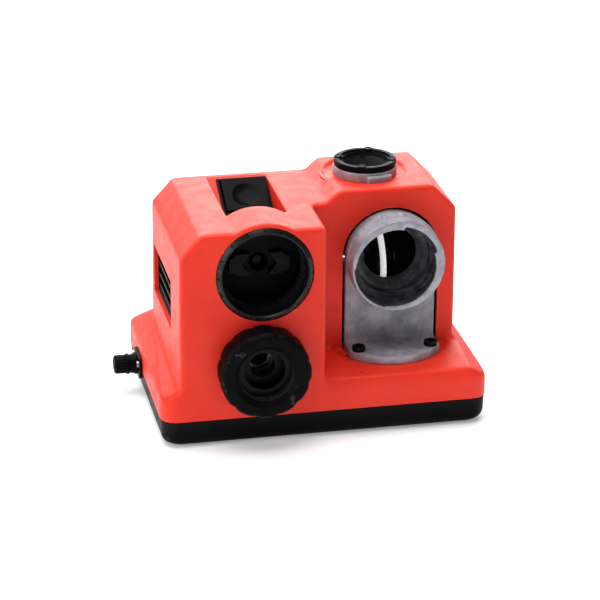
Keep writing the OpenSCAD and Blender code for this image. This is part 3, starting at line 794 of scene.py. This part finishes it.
def within(outline, a, b):
    """Whether the point (a, b) lies inside a closed outline."""
    inside = False
    for (a0, b0), (a1, b1) in zip(outline, outline[1:] + outline[:1]):
        if (b0 > b) != (b1 > b) and a < a0 + (b - b0) * (a1 - a0) / (b1 - b0):
            inside = not inside
    return inside


def faces_a_room(face):
    """Whether the space just in front of a face is part of the hollow inside."""
    x, y, z = face.center / MM + face.normal * 0.4
    if z < SEAM_Z + 0.3:
        return False
    for _, outline, plane, low, high in rooms():
        along, across = (y, x) if plane == "xz" else (x, y)
        if low < along < high and within(outline, across, z):
            return True
    return False


def pocket_walls():
    """The tub under the switch pocket, still solid."""
    wall, top, bottom = 2.5, 139, 122.5
    outline = [(34, top), (34, top - 1), (-1, bottom), (HOOD_BACK - 1, bottom), (HOOD_BACK - 1, top)]
    return prism("pocket_walls", outline, "yz", POCKET[0] - wall, POCKET[1] + wall)


def inner_parts():
    """What stands in the hollow: the hood's core, the thinning port's boss and the screw posts."""
    parts = [
        rod("hood_core", HOOD_R - 0.6, FRONT_Y + 2, HOOD_BACK - 0.6, "y", (SET_X, SET_Z)),
        rod("thinning_boss", RECESS_R + 2.5, THIN_FLOOR - 4, THIN_FLOOR - 0.2, "z", (THIN_X, THIN_Y)),
    ]
    for side, end in CORNERS:
        spot = (side * POST_AT[0], end * POST_AT[1])
        parts.append(rod("post", POST_R, SEAM_Z + 0.1, BAND_Z - 1, "z", spot, 32))
    return parts


def port_holes():
    """The round and arched openings, the vent and the holes for the gland and the pivot."""
    before = FRONT_Y - 6
    set_axis, thin_axis = (SET_X, SET_Z), (THIN_X, THIN_Y)
    door_x = (PORT_X - ARCH_R, PORT_X + ARCH_R)
    return [
        rod("ring_hole", RING_HOLE_R, before, HOOD_BACK - 3, "y", set_axis, 128),
        rod("socket_hole", SOCKET_HOLE_R, before, SOCKET_BACK + 1, "y", (SOCKET_X, SOCKET_Z), 128),
        rod("arch_top", ARCH_R, WHEEL_FRONT_Y - 6, -20, "y", (PORT_X, PORT_Z), 128),
        block("arch_door", door_x, (WHEEL_FRONT_Y - 10, -24), (PAD_Z, PORT_Z)),
        block("window", *VENT),
        rod("neck_hole", NECK_HOLE_R, -45, HOOD_BACK + 1, "y", set_axis, 48),
        rod("thinning_hole", THIN_HOLE_R, 130, 160, "z", thin_axis, 96),
        gland_hole(),
        rod("pivot_hole", PIVOT_HOLE_R, 30, 50, "z", (PORT_X, PIVOT_Y), 64),
    ]


def gland_hole():
    return rod("gland_hole", GLAND_HOLE_R, -110, -95, "x", GLAND, 48)


def switch_place():
    """Carries a piece drawn flat round the origin to the switch, square to the pocket's floor."""
    return Matrix.Translation(SWITCH * MM) @ Matrix.Rotation(POCKET_TILT, 4, "X")


def switch_hole():
    return turned(block("switch_hole", (-15.3, 15.3), (-15.1, 15.1), (-20, 5)), switch_place())


def arc_slots():
    """Two curved slots under the foot, which let the port swivel on its screws."""
    ring_r = math.hypot(SCREW_DX, SCREW_DY)
    bearing = math.degrees(math.atan2(-SCREW_DY, SCREW_DX))
    half_w, reach, steps = 2.9, 15.6, 12
    tools = []
    for start in (-bearing, bearing - 180):
        outline = []
        for radius, order in ((ring_r + half_w, range(steps + 1)), (ring_r - half_w, range(steps, -1, -1))):
            for k in order:
                angle = math.radians(start - reach + 2 * reach * k / steps)
                outline.append((PORT_X + radius * math.cos(angle), PIVOT_Y + radius * math.sin(angle)))
        tools.append(prism("arc_slot", outline, "xy", PAD_Z - 8, PAD_Z + 1))
    return tools


def pad_cutter():
    """The flat round seat that the port's foot turns on."""
    seat = rod("pad_seat", FOOT_ARC_R + 1.6, PAD_Z, PAD_Z + 8, "z", (PORT_X, PIVOT_Y), 128)
    return keep(seat, block("pad_limit", (-100, 100), (-90, WHEEL_FRONT_Y - 0.4), (PAD_Z - 1, PAD_Z + 6)))


def body_shell():
    """The outside is shaped and rounded first, and the hollows, walls and holes come after it, kept crisp."""
    shell = shell_blank()
    melt(shell, 1.25, 9)
    cut(shell, pocket_cutter())
    join(shell, rod("hood", HOOD_R, FRONT_Y - 0.4, HOOD_BACK, "y", (SET_X, SET_Z), 128))
    cut(shell, rod("thinning_recess", RECESS_R, THIN_FLOOR, 165, "z", (THIN_X, THIN_Y), 128))
    join(shell, rod("pad", FOOT_ARC_R + 1.5, PAD_Z - 5, PAD_Z, "z", (PORT_X, PIVOT_Y), 128))
    cut(shell, pad_cutter())
    melt(shell, 0.85, 3)
    thin_out(shell, 0.35)
    cut(shell, block("seam_cut", (-130, 130), (-100, 100), (-5, SEAM_Z + 0.05)))
    cut(shell, *(prism(*room) for room in rooms()))
    join(shell, pocket_walls())
    cut(shell, pocket_cutter())
    join(shell, *inner_parts())
    cut(shell, *port_holes(), switch_hole(), *arc_slots())
    finish_piece(shell, "housing", "shell_orange", FINISHES["shell_orange"], "body_shell", angle=40)
    # Every face that looks into the hollow gets the near-black painted shade.
    shell.data.materials.append(INSIDE_SHADE)
    for face in shell.data.polygons:
        if faces_a_room(face):
            face.material_index = 1
    return shell


# ---------- base ----------


def base_tray():
    """A black tub with a rounded lower edge, and bosses and holes for feet, bench and shell screws."""
    low, high = TRAY_LOW.z, TRAY_HIGH.z - 0.05
    floor = low + TRAY_FLOOR
    w, d = TRAY_HIGH.x - TRAY_LOW.x, TRAY_HIGH.y - TRAY_LOW.y
    steps = [(-8.6, 0), (-7.2, 0.25), (-4.4, 1.5), (-2.4, 3.2), (-1.3, 5.0), (-0.8, 7.2)]
    sections = [(rounded_rect(w + inset, d + inset, CORNER_R - 0.5, 8), low + rise) for inset, rise in steps]
    sections.append((rounded_rect(w, d, CORNER_R, 8), high - 0.4))
    sections.append((rounded_rect(w - 0.5, d - 0.5, CORNER_R, 8), high))
    tray = loft("base_tray_finished", sections)
    cut(tray, block("tray_room", (-101, 101), (-67, 67), (low + 4, high + 5)))
    for side, end in CORNERS:
        post, foot, bench = ((side * x, end * y) for x, y in (POST_AT, FOOT_AT, BENCH_AT))
        join(tray, rod("post", POST_R, low + 1, high, "z", post, 32))
        join(tray, rod("boss", 4, floor, 11, "z", foot, 32))
        join(tray, rod("bench_boss", 6, floor, 8, "z", bench, 32))
        cut(tray, rod("post_hole", 1.8, -2, 30, "z", post, 24))
        cut(tray, rod("post_head", 3.2, -2, floor, "z", post, 32))
        cut(tray, rod("foot_hole", 1.52, -2, 10, "z", foot, 24))
        cut(tray, rod("foot_seat", 9.1, -2, low + 2, "z", foot, 48))
        cut(tray, rod("bench_hole", 2.75, -2, 30, "z", bench, 32))
    cut(tray, gland_hole())
    return black_piece(tray, "housing", "base_tray", angle=30)


# ---------- switch ----------


def switch_rocker():
    """A rocker cap with a round thumb dish, crowned sides and soft edges."""
    outline = fillet([
        (-12.9, 6.3, 0.5), (-13.4, 3.8, 0.6), (-8, -2.2, 0.8),
        (8, -2.2, 0.8), (13.4, 3.8, 0.6), (12.9, 6.3, 0.5),
    ], True)
    cap = prism("rocker_cap", outline, "yz", -13.95, 13.95)
    dish_r, dish_low, dish_rise, steps = 9.8, 5.0, 1.6, 8
    bowl = [(dish_r * k / steps, dish_low + dish_rise * (k / steps) ** 2) for k in range(steps + 1)]
    cut(cap, lathe("dish", bowl + [(dish_r, 10), (0, 10)], "z", (0, -1)))
    melt(cap, 0.42, 4)
    thin_out(cap, 0.5)
    rest = Matrix.Translation((0, 0, ROCKER_PIVOT * MM)) @ Matrix.Rotation(ROCKER_REST, 4, "X")
    turned(cap, switch_place() @ rest)
    finish = FINISHES["rocker_plastic"]
    return finish_piece(cap, "rocker", "rocker_plastic", finish, "switch_rocker", angle=50)


# ---------- setting port ----------


def setting_ring():
    """The ring's front edge is a wide cone with a dimple every 22.5 degrees."""
    front, back, outer = RING_LOW.y, RING_HIGH.y, (RING_HIGH.x - RING_LOW.x) / 2
    bore, chamfer = SET_BORE_R, 2.2
    profile = fillet([
        (bore, back), (outer, back, 0.2), (outer, front + chamfer, 0.3), (28.2, front, 0.3),
        (27.3, front, 0.3), (bore, front + 1.2, 0.3),
    ], True)
    ring = lathe("setting_ring_finished", profile, "y", (SET_X, SET_Z), 192)
    dimples, circle_r, ball_r = 16, 29.3, 0.95
    for i in range(dimples):
        angle = 2 * math.pi * i / dimples + math.pi / 2
        x, z = SET_X + circle_r * math.cos(angle), SET_Z + circle_r * math.sin(angle)
        cut(ring, ball("dimple", ball_r, (x, front + 1.0, z)))
    return finish_piece(ring, "setting_ring", "black_plastic", FINISHES["ring_plastic"], "setting_port_ring")


def ball(name, r, centre):
    bm = bmesh.new()
    bmesh.ops.create_icosphere(bm, subdivisions=3, radius=r)
    bmesh.ops.translate(bm, vec=centre, verts=bm.verts)
    return add_object(name, bm)


# ---------- chuck ----------


def lobed(angle, r, h):
    """The grip's radius: circular inside, and scalloped between its twelve lobes near the outside."""
    lobes, notch_w, notch_depth = 12, 0.15, 0.8
    outside = max(0.0, (r - GRIP_BORE_R) / 6.6)
    along = (angle * lobes / (2 * math.pi)) % 1.0 - 0.5
    notch = math.exp(-((abs(along) / notch_w) ** 2))
    return r - notch_depth * notch * min(1.0, outside)


def chuck_grip():
    """The knob: a scalloped outside, a domed face and a coned mouth."""
    front, back, outer = GRIP_LOW.y, GRIP_HIGH.y, (GRIP_HIGH.x - GRIP_LOW.x) / 2
    profile = fillet([
        (GRIP_BORE_R, back), (outer - 0.4, back, 0.4), (outer, back - 2.5, 1.0), (outer, front + 2.6, 0.9),
        (outer - 1.7, front + 0.3, 0.8), (24.5, front, 0.6), (20.6, front, 0.5), (17.4, front + 3.0, 0.5),
        (GRIP_MOUTH_R, front + 4.4), (GRIP_MOUTH_R, GRIP_STEP_Y), (GRIP_BORE_R, GRIP_STEP_Y),
    ], True)
    grip = lathe("chuck_grip_finished", profile, "y", (SOCKET_X, SOCKET_Z), 288, lobed)
    return black_piece(grip, "chuck_grip", "chuck_grip_ring")


# ---------- point grinding port ----------


def cam_radius(angle):
    """Inner radius of the front cam, for an angle in degrees seen from the front."""
    low_r, rise, level_r, open_r = 23.9, 3.7, 26.1, 28.4
    first, second, third = 83, 17, -106
    if angle > first:
        return low_r + rise * (angle - first) / (180 - first)
    if angle > second:
        return level_r
    if angle > third:
        return low_r + rise * (second - angle) / (second - third)
    return open_r


def cam_cutter():
    """Cuts the tube's mouth: two ramps and two steps that lead the chuck round."""
    steps = 240
    outline = []
    for i in range(steps):
        degrees = 179.4 - 360 * i / steps
        r, angle = cam_radius(degrees), math.radians(degrees)
        outline.append((PORT_X + r * math.cos(angle), PORT_Z + r * math.sin(angle)))
    return prism("cam", outline, "xz", TUBE_FRONT - 2, TUBE_FRONT + CAM_DEPTH + 0.01)


def bracket_blank():
    """The outside of the casting: tube, collar, plate, foot and the fillet between the last two."""
    centre = (PORT_X, PORT_Z)
    plate_x = (PORT_X - PLATE_HW, PORT_X + PLATE_HW)
    plate_back = PLATE_FRONT + PLATE_T
    foot_top = PAD_Z + FOOT_T
    solid = rod("port_bracket", TUBE_R, TUBE_FRONT, TUBE_BACK, "y", centre, 192)
    join(solid, rod("collar", PLATE_HW + 0.05, TUBE_BACK - 1, plate_back, "y", centre, 192))
    join(solid, block("plate", plate_x, (PLATE_FRONT, plate_back), (PAD_Z + 1, PORT_Z)))
    foot = rod("foot", FOOT_ARC_R, PAD_Z + 0.05, foot_top, "z", (PORT_X, PIVOT_Y), 192)
    keep(foot, block("foot_limit", plate_x, (-80, plate_back), (PAD_Z - 1, PAD_Z + 20)))
    join(solid, foot)
    outline = [(PLATE_FRONT + 1, foot_top - 1), (PLATE_FRONT - ROOT_R, foot_top - 1)]
    for k in range(7):
        a = math.radians(-90 + 15 * k)
        outline.append((PLATE_FRONT - ROOT_R * (1 - math.cos(a)), foot_top + ROOT_R * (1 + math.sin(a))))
    outline.append((PLATE_FRONT + 1, foot_top + ROOT_R))
    join(solid, prism("root", outline, "yz", *plate_x))
    return solid


def cast_marks():
    """A low collar round the back of the tube, and three gate stubs on top of it."""
    inner, outer, front, back = 29, 30.7, -37.6, -36.2
    profile = [(inner, front), (outer, front), (outer, back), (inner, back)]
    marks = [lathe("collar_ring", profile, "y", (PORT_X, PORT_Z), 128)]
    to_axis = Matrix.Translation(Vector((PORT_X, 0, PORT_Z)) * MM)
    for tilt, width, tip in ((14, 2.6, -40.4), (3, 3.6, -41.6), (-9, 2.2, -39.8)):
        stub = block("stub", (-width / 2, width / 2), (tip, -36.5), (28.5, 30.9))
        marks.append(turned(stub, to_axis @ Matrix.Rotation(math.radians(-tilt), 4, "Y")))
    return marks


def mouth_grooves():
    """Turned grooves inside the open part of the mouth, at its lower left."""
    inner, outer, width = 27, 29.1, 0.7
    tools = []
    for depth in (1.1, 2.5):
        y = TUBE_FRONT + depth
        profile = [(inner, y), (outer, y), (outer, y + width), (inner, y + width)]
        groove = lathe("groove", profile, "y", (PORT_X, PORT_Z), 128)
        limit = block("groove_limit", (PORT_X - 35, PORT_X - 4), (y - 1, y + 2), (PORT_Z - 35, PORT_Z - 8))
        tools.append(keep(groove, limit))
    return tools


def tube_bore():
    """The chamber behind the cam, the chuck's seat and the cone that lets the grinding dust out."""
    chamber_front, cone_back = TUBE_FRONT + CAM_DEPTH, -25.3
    profile = [
        (0, chamber_front), (CHAMBER_R, chamber_front), (CHAMBER_R, SEAT_FRONT), (SEAT_R, SEAT_FRONT),
        (SEAT_R, SEAT_BACK), (THROAT_R[0], SEAT_BACK), (THROAT_R[1], cone_back), (THROAT_R[1], -20), (0, -20),
    ]
    return lathe("tube_bore", profile, "y", (PORT_X, PORT_Z), 192)


def port_bracket():
    """The die-cast bracket: tube with a cam at its mouth, upright plate and round foot."""
    solid = bracket_blank()
    cut(solid, tube_bore(), cam_cutter())
    for side in (-1, 1):
        cut(solid, rod("screw_hole", 2.7, 30, 60, "z", (PORT_X + side * SCREW_DX, PIVOT_Y + SCREW_DY), 32))
    join(solid, *cast_marks())
    cut(solid, *mouth_grooves())
    melt(solid, 0.5, 2)
    roughen(solid, 5.0, 0.10, 1)
    thin_out(solid, 0.4)
    finish = FINISHES["cast_alloy"]
    finish_piece(solid, "port_swivel", "cast_alloy", finish, "grinding_port_bracket", angle=45)
    solid.data.materials.append(MACHINED)
    # The faces inside the tube get painted shade; the turned front face gets the paler machined finish.
    solid.data.materials.append(BORE_SHADE)
    for face in solid.data.polygons:
        x, y, z = face.center / MM
        if y < TUBE_FRONT + 0.5 and face.normal.y < -0.8:
            face.material_index = 1
        elif y > TUBE_FRONT + 1 and math.hypot(x - PORT_X, z - PORT_Z) < CHAMBER_R + 0.8:
            face.material_index = 2
    return solid


def socket_screw(side):
    """A socket head screw with a hexagon of 4.5 mm across its corners."""
    x, y = PORT_X + side * SCREW_DX, PIVOT_Y + SCREW_DY
    head_r, shank_r, key_r, tip = 4.25, 2.5, 2.25, 33.3
    seat = PAD_Z + FOOT_T + 0.03
    top = seat + 3.15
    profile = fillet([
        (0, tip), (shank_r, tip), (shank_r, seat), (head_r, seat, 0.15), (head_r, top, 0.5),
        (2.75, top, 0.2), (2.4, top - 0.4), (0, top - 0.4),
    ])
    screw = lathe("port_screw_" + ("left" if side < 0 else "right"), profile, "z", (x, y), 64)
    return cut(screw, lathe("socket", [(0, top - 2), (key_r, top - 2), (key_r, 60), (0, 60)], "z", (x, y), 6))


def port_screws():
    for side in (-1, 1):
        screw = socket_screw(side)
        finish_piece(screw, "port_swivel", "black_screw", FINISHES["black_screw"], "port_screws")


# ---------- web thinning port ----------


def thinning_turn(obj):
    """Carries a piece drawn round the origin to the thinning port."""
    spin = Matrix.Translation(Vector((THIN_X, THIN_Y, 0)) * MM) @ Matrix.Rotation(THIN_TURN, 4, "Z")
    return turned(obj, spin)


def quarter_spots(r):
    """Four points on a circle round the origin."""
    return [(r * math.cos(a), r * math.sin(a)) for a in (math.pi / 2 * i for i in range(4))]


def thinning_base():
    """The turned alloy seat of the port, with a pointer tongue."""
    floor, top, foot = THIN_FLOOR + 0.12, THIN_SPLIT - 0.1, 139.6
    bore, neck, flange = THIN_BORE_R, THIN_HOLE_R - 0.1, 20.4
    profile = fillet([
        (bore, foot), (neck, foot, 0.3), (neck, floor), (flange, floor, 0.2), (flange, top, 0.5), (bore, top),
    ], True)
    base = lathe("thinning_base_finished", profile, "z", (0, 0), 160)
    tongue = rod("tongue", 24.5, floor, 151, "z", (0, 0), 160)
    strip = block("strip", (19, 30), (-8, 8), (140, 160))
    keep(tongue, turned(strip, Matrix.Rotation(math.radians(-58), 4, "Z")))
    soften(tongue, 0.5)
    join(base, tongue)
    for spot in quarter_spots(THIN_SCREW_R):
        cut(base, rod("screw_hole", 0.98, 146, 153, "z", spot, 16))
    bore_faces = [f.index for f in base.data.polygons if math.hypot(*f.center.xy) < (THIN_BORE_R + 1) * MM]
    thinning_turn(base)
    finish_piece(base, "thinning_port", "cast_alloy", MACHINED, "thinning_port_base")
    # The bore faces get painted shade.
    base.data.materials.append(BORE_SHADE)
    for i in bore_faces:
        base.data.polygons[i].material_index = 1
    return base


def thinning_ring():
    """The black ring with four round lobes, each round a screw."""
    low = THIN_SPLIT
    rim, ledge = low + 3.9, low + 2.6
    profile = fillet([
        (THIN_BORE_R, low), (20.0, low, 0.3), (20.0, rim, 0.7), (16.6, rim, 0.3),
        (16.2, ledge, 0.2), (14.6, ledge, 0.2),
    ], True)
    ring = lathe("thinning_ring_finished", profile, "z", (0, 0), 160)
    lobe_r, lobe_top = 2.65, low + 4.45
    lobe_line = fillet([(0, low + 0.5), (lobe_r, low + 0.5), (lobe_r, lobe_top, 0.4), (0, lobe_top)])
    for spot in quarter_spots(THIN_SCREW_R):
        join(ring, lathe("lobe", lobe_line, "z", spot, 48))
        cut(ring, rod("head_seat", 1.95, low + 2.9, 165, "z", spot, 32))
    thinning_turn(ring)
    return black_piece(ring, "thinning_port", "thinning_port_ring")


# ---------- cable gland ----------


def gland_plate(wall):
    """The flange against the wall, a rounded plate with the gland's hole in it."""
    y, z = GLAND
    outline = [(y + a, z + 0.25 + b) for a, b in rounded_rect(23.8, 14.2, 2.5)]
    plate = prism("gland_plate_finished", outline, "yz", wall - 2.2, wall - 0.03)
    cut(plate, rod("bore", 5.6, -120, -90, "x", GLAND, 48))
    soften(plate, 0.4)
    return black_piece(plate, "housing", "gland_plate")


def gland_body(wall, out):
    """The threaded body with its cone, neck and collar."""
    cord_r, thread_r, collar_r, spigot_r, inside = 3.6, 5.5, 6.8, 4.6, wall + 7.9
    line = fillet([
        (cord_r, inside), (thread_r, inside), (thread_r, out), (7.3, out, 0.5), (5.9, out - 5, 0.4),
        (collar_r, out - 5.2, 0.3), (collar_r, out - 7, 0.3), (spigot_r, out - 7.02), (spigot_r, out - 13),
        (cord_r, out - 13),
    ], True)
    return black_piece(lathe("gland_body_finished", line, "x", GLAND, 72), "housing", "gland_body")


def gland_nut(out):
    """The cap nut, with sixteen grip ribs round its side."""
    bore, cord_r, side_r, seat, tip = 4.65, 3.6, 6.2, out - 7.1, out - 14.9

    def ribbed(angle, r, h):
        on_side = r > 5.9 and h > out - 14.2
        return r - (0.35 * (0.5 + 0.5 * math.cos(16 * angle)) ** 3 if on_side else 0)

    line = fillet([
        (bore, seat), (side_r, seat, 0.3), (side_r, out - 14.0, 0.5), (5.2, tip, 0.3), (cord_r, tip, 0.3),
        (cord_r, out - 13.2), (bore, out - 13.2),
    ], True)
    return black_piece(lathe("gland_nut_finished", line, "x", GLAND, 128, ribbed), "housing", "gland_nut")


def gland():
    wall = SHELL_LOW.x
    out = wall - 2.22
    gland_plate(wall)
    gland_body(wall, out)
    gland_nut(out)


# ---------- marks ----------


def marks():
    """Small moulded pips that index the two swivelling ports."""
    for name, r, low, high, edge, spot in (
        ("shelf_index_dot", 0.75, 38.0, 39.35, 0.3, (23.7, -63.7)),
        ("top_index_dot", 0.7, RIGHT_TOP - 1, RIGHT_TOP - 0.05, 0.2, (68.9, 5.1)),
    ):
        pip = lathe(name, fillet([(0, low), (r, low), (r, high, edge), (0, high)]), "z", spot, 32)
        finish_piece(pip, "housing", "shell_orange", INDEX_RED)


# ---------- stage ----------


def stage():
    """A pale floor under even, dim light from all round."""
    bm = bmesh.new()
    bmesh.ops.create_grid(bm, x_segments=8, y_segments=8, size=6000)
    floor = add_object("floor", bm)
    floor.data.materials.append(floor_paper())
    world = bpy.data.worlds.new("studio")
    bpy.context.scene.world = world
    world.use_nodes = True
    background = world.node_tree.nodes["Background"]
    background.inputs["Color"].default_value = (1.0, 1.0, 1.0, 1)
    background.inputs["Strength"].default_value = 0.28


def softbox(name, spot, target, size, power):
    """A rectangular lamp at a spot, turned to a target."""
    data = bpy.data.lights.new(name, "AREA")
    data.shape = "RECTANGLE"
    data.size, data.size_y = (s * MM for s in size)
    data.energy = power
    lamp = bpy.data.objects.new(name, data)
    lamp.location = Vector(spot) * MM
    lamp.rotation_euler = (Vector(target) - Vector(spot)).to_track_quat("-Z", "Y").to_euler()
    bpy.context.scene.collection.objects.link(lamp)
    return lamp


def lights():
    centre = (0, 0, 80)
    softbox("top_box", (-150, 150, 1500), centre, (1300, 1300), 28)
    softbox("back_box", (200, 1700, 750), centre, (2200, 900), 37)
    softbox("left_box", (-1500, -500, 700), centre, (900, 1100), 12)


def camera():
    """The view of the reference: three quarters from the front left, a little above."""
    spot = Vector((-329.4, -1505.0, 712.2)) * MM
    yaw, pitch, roll = (math.radians(a) for a in (12.3, 22.68, 0.53))
    forward = Vector((math.sin(yaw) * math.cos(pitch), math.cos(yaw) * math.cos(pitch), -math.sin(pitch)))
    level = Vector((math.cos(yaw), -math.sin(yaw), 0))
    upright = level.cross(forward)
    right = level * math.cos(roll) + upright * math.sin(roll)
    up = right.cross(forward)
    data = bpy.data.cameras.new("camera")
    data.lens = 155.1
    data.sensor_width = 36
    data.shift_x, data.shift_y = -0.0041, -0.010
    eye = bpy.data.objects.new("camera", data)
    facing = Matrix((right, up, -forward)).transposed().to_4x4()
    eye.matrix_world = Matrix.Translation(spot) @ facing
    bpy.context.scene.collection.objects.link(eye)
    bpy.context.scene.camera = eye


# CAD nodes that only need their edges broken, with the bevel's width; the dark ones take the near-black screw
# finish, which on the parts inside the machine is painted shade
DARK_COPIES = {
    "setting_stop": 0.3,
    "thinning_ring_screws": 0.15,
    "wheel_hub": 0.3,
    "wheel_flange": 0.3,
    "wheel_nut": 0.3,
    "dust_partition": 0.2,
}
COPIES = {"switch_housing": 0.35, "storage_socket": 0.3, "vent_grille": 0.2}

camera()
dress_cad_nodes()
body_shell()
base_tray()
switch_rocker()
setting_ring()
chuck_grip()
port_bracket()
port_screws()
thinning_base()
thinning_ring()
gland()
marks()
for part, edge in DARK_COPIES.items():
    softened_copy(part, edge, finish="black_screw")
for part, edge in COPIES.items():
    softened_copy(part, edge)
stage()
lights()
bpy.context.scene.view_settings.view_transform = "Standard"
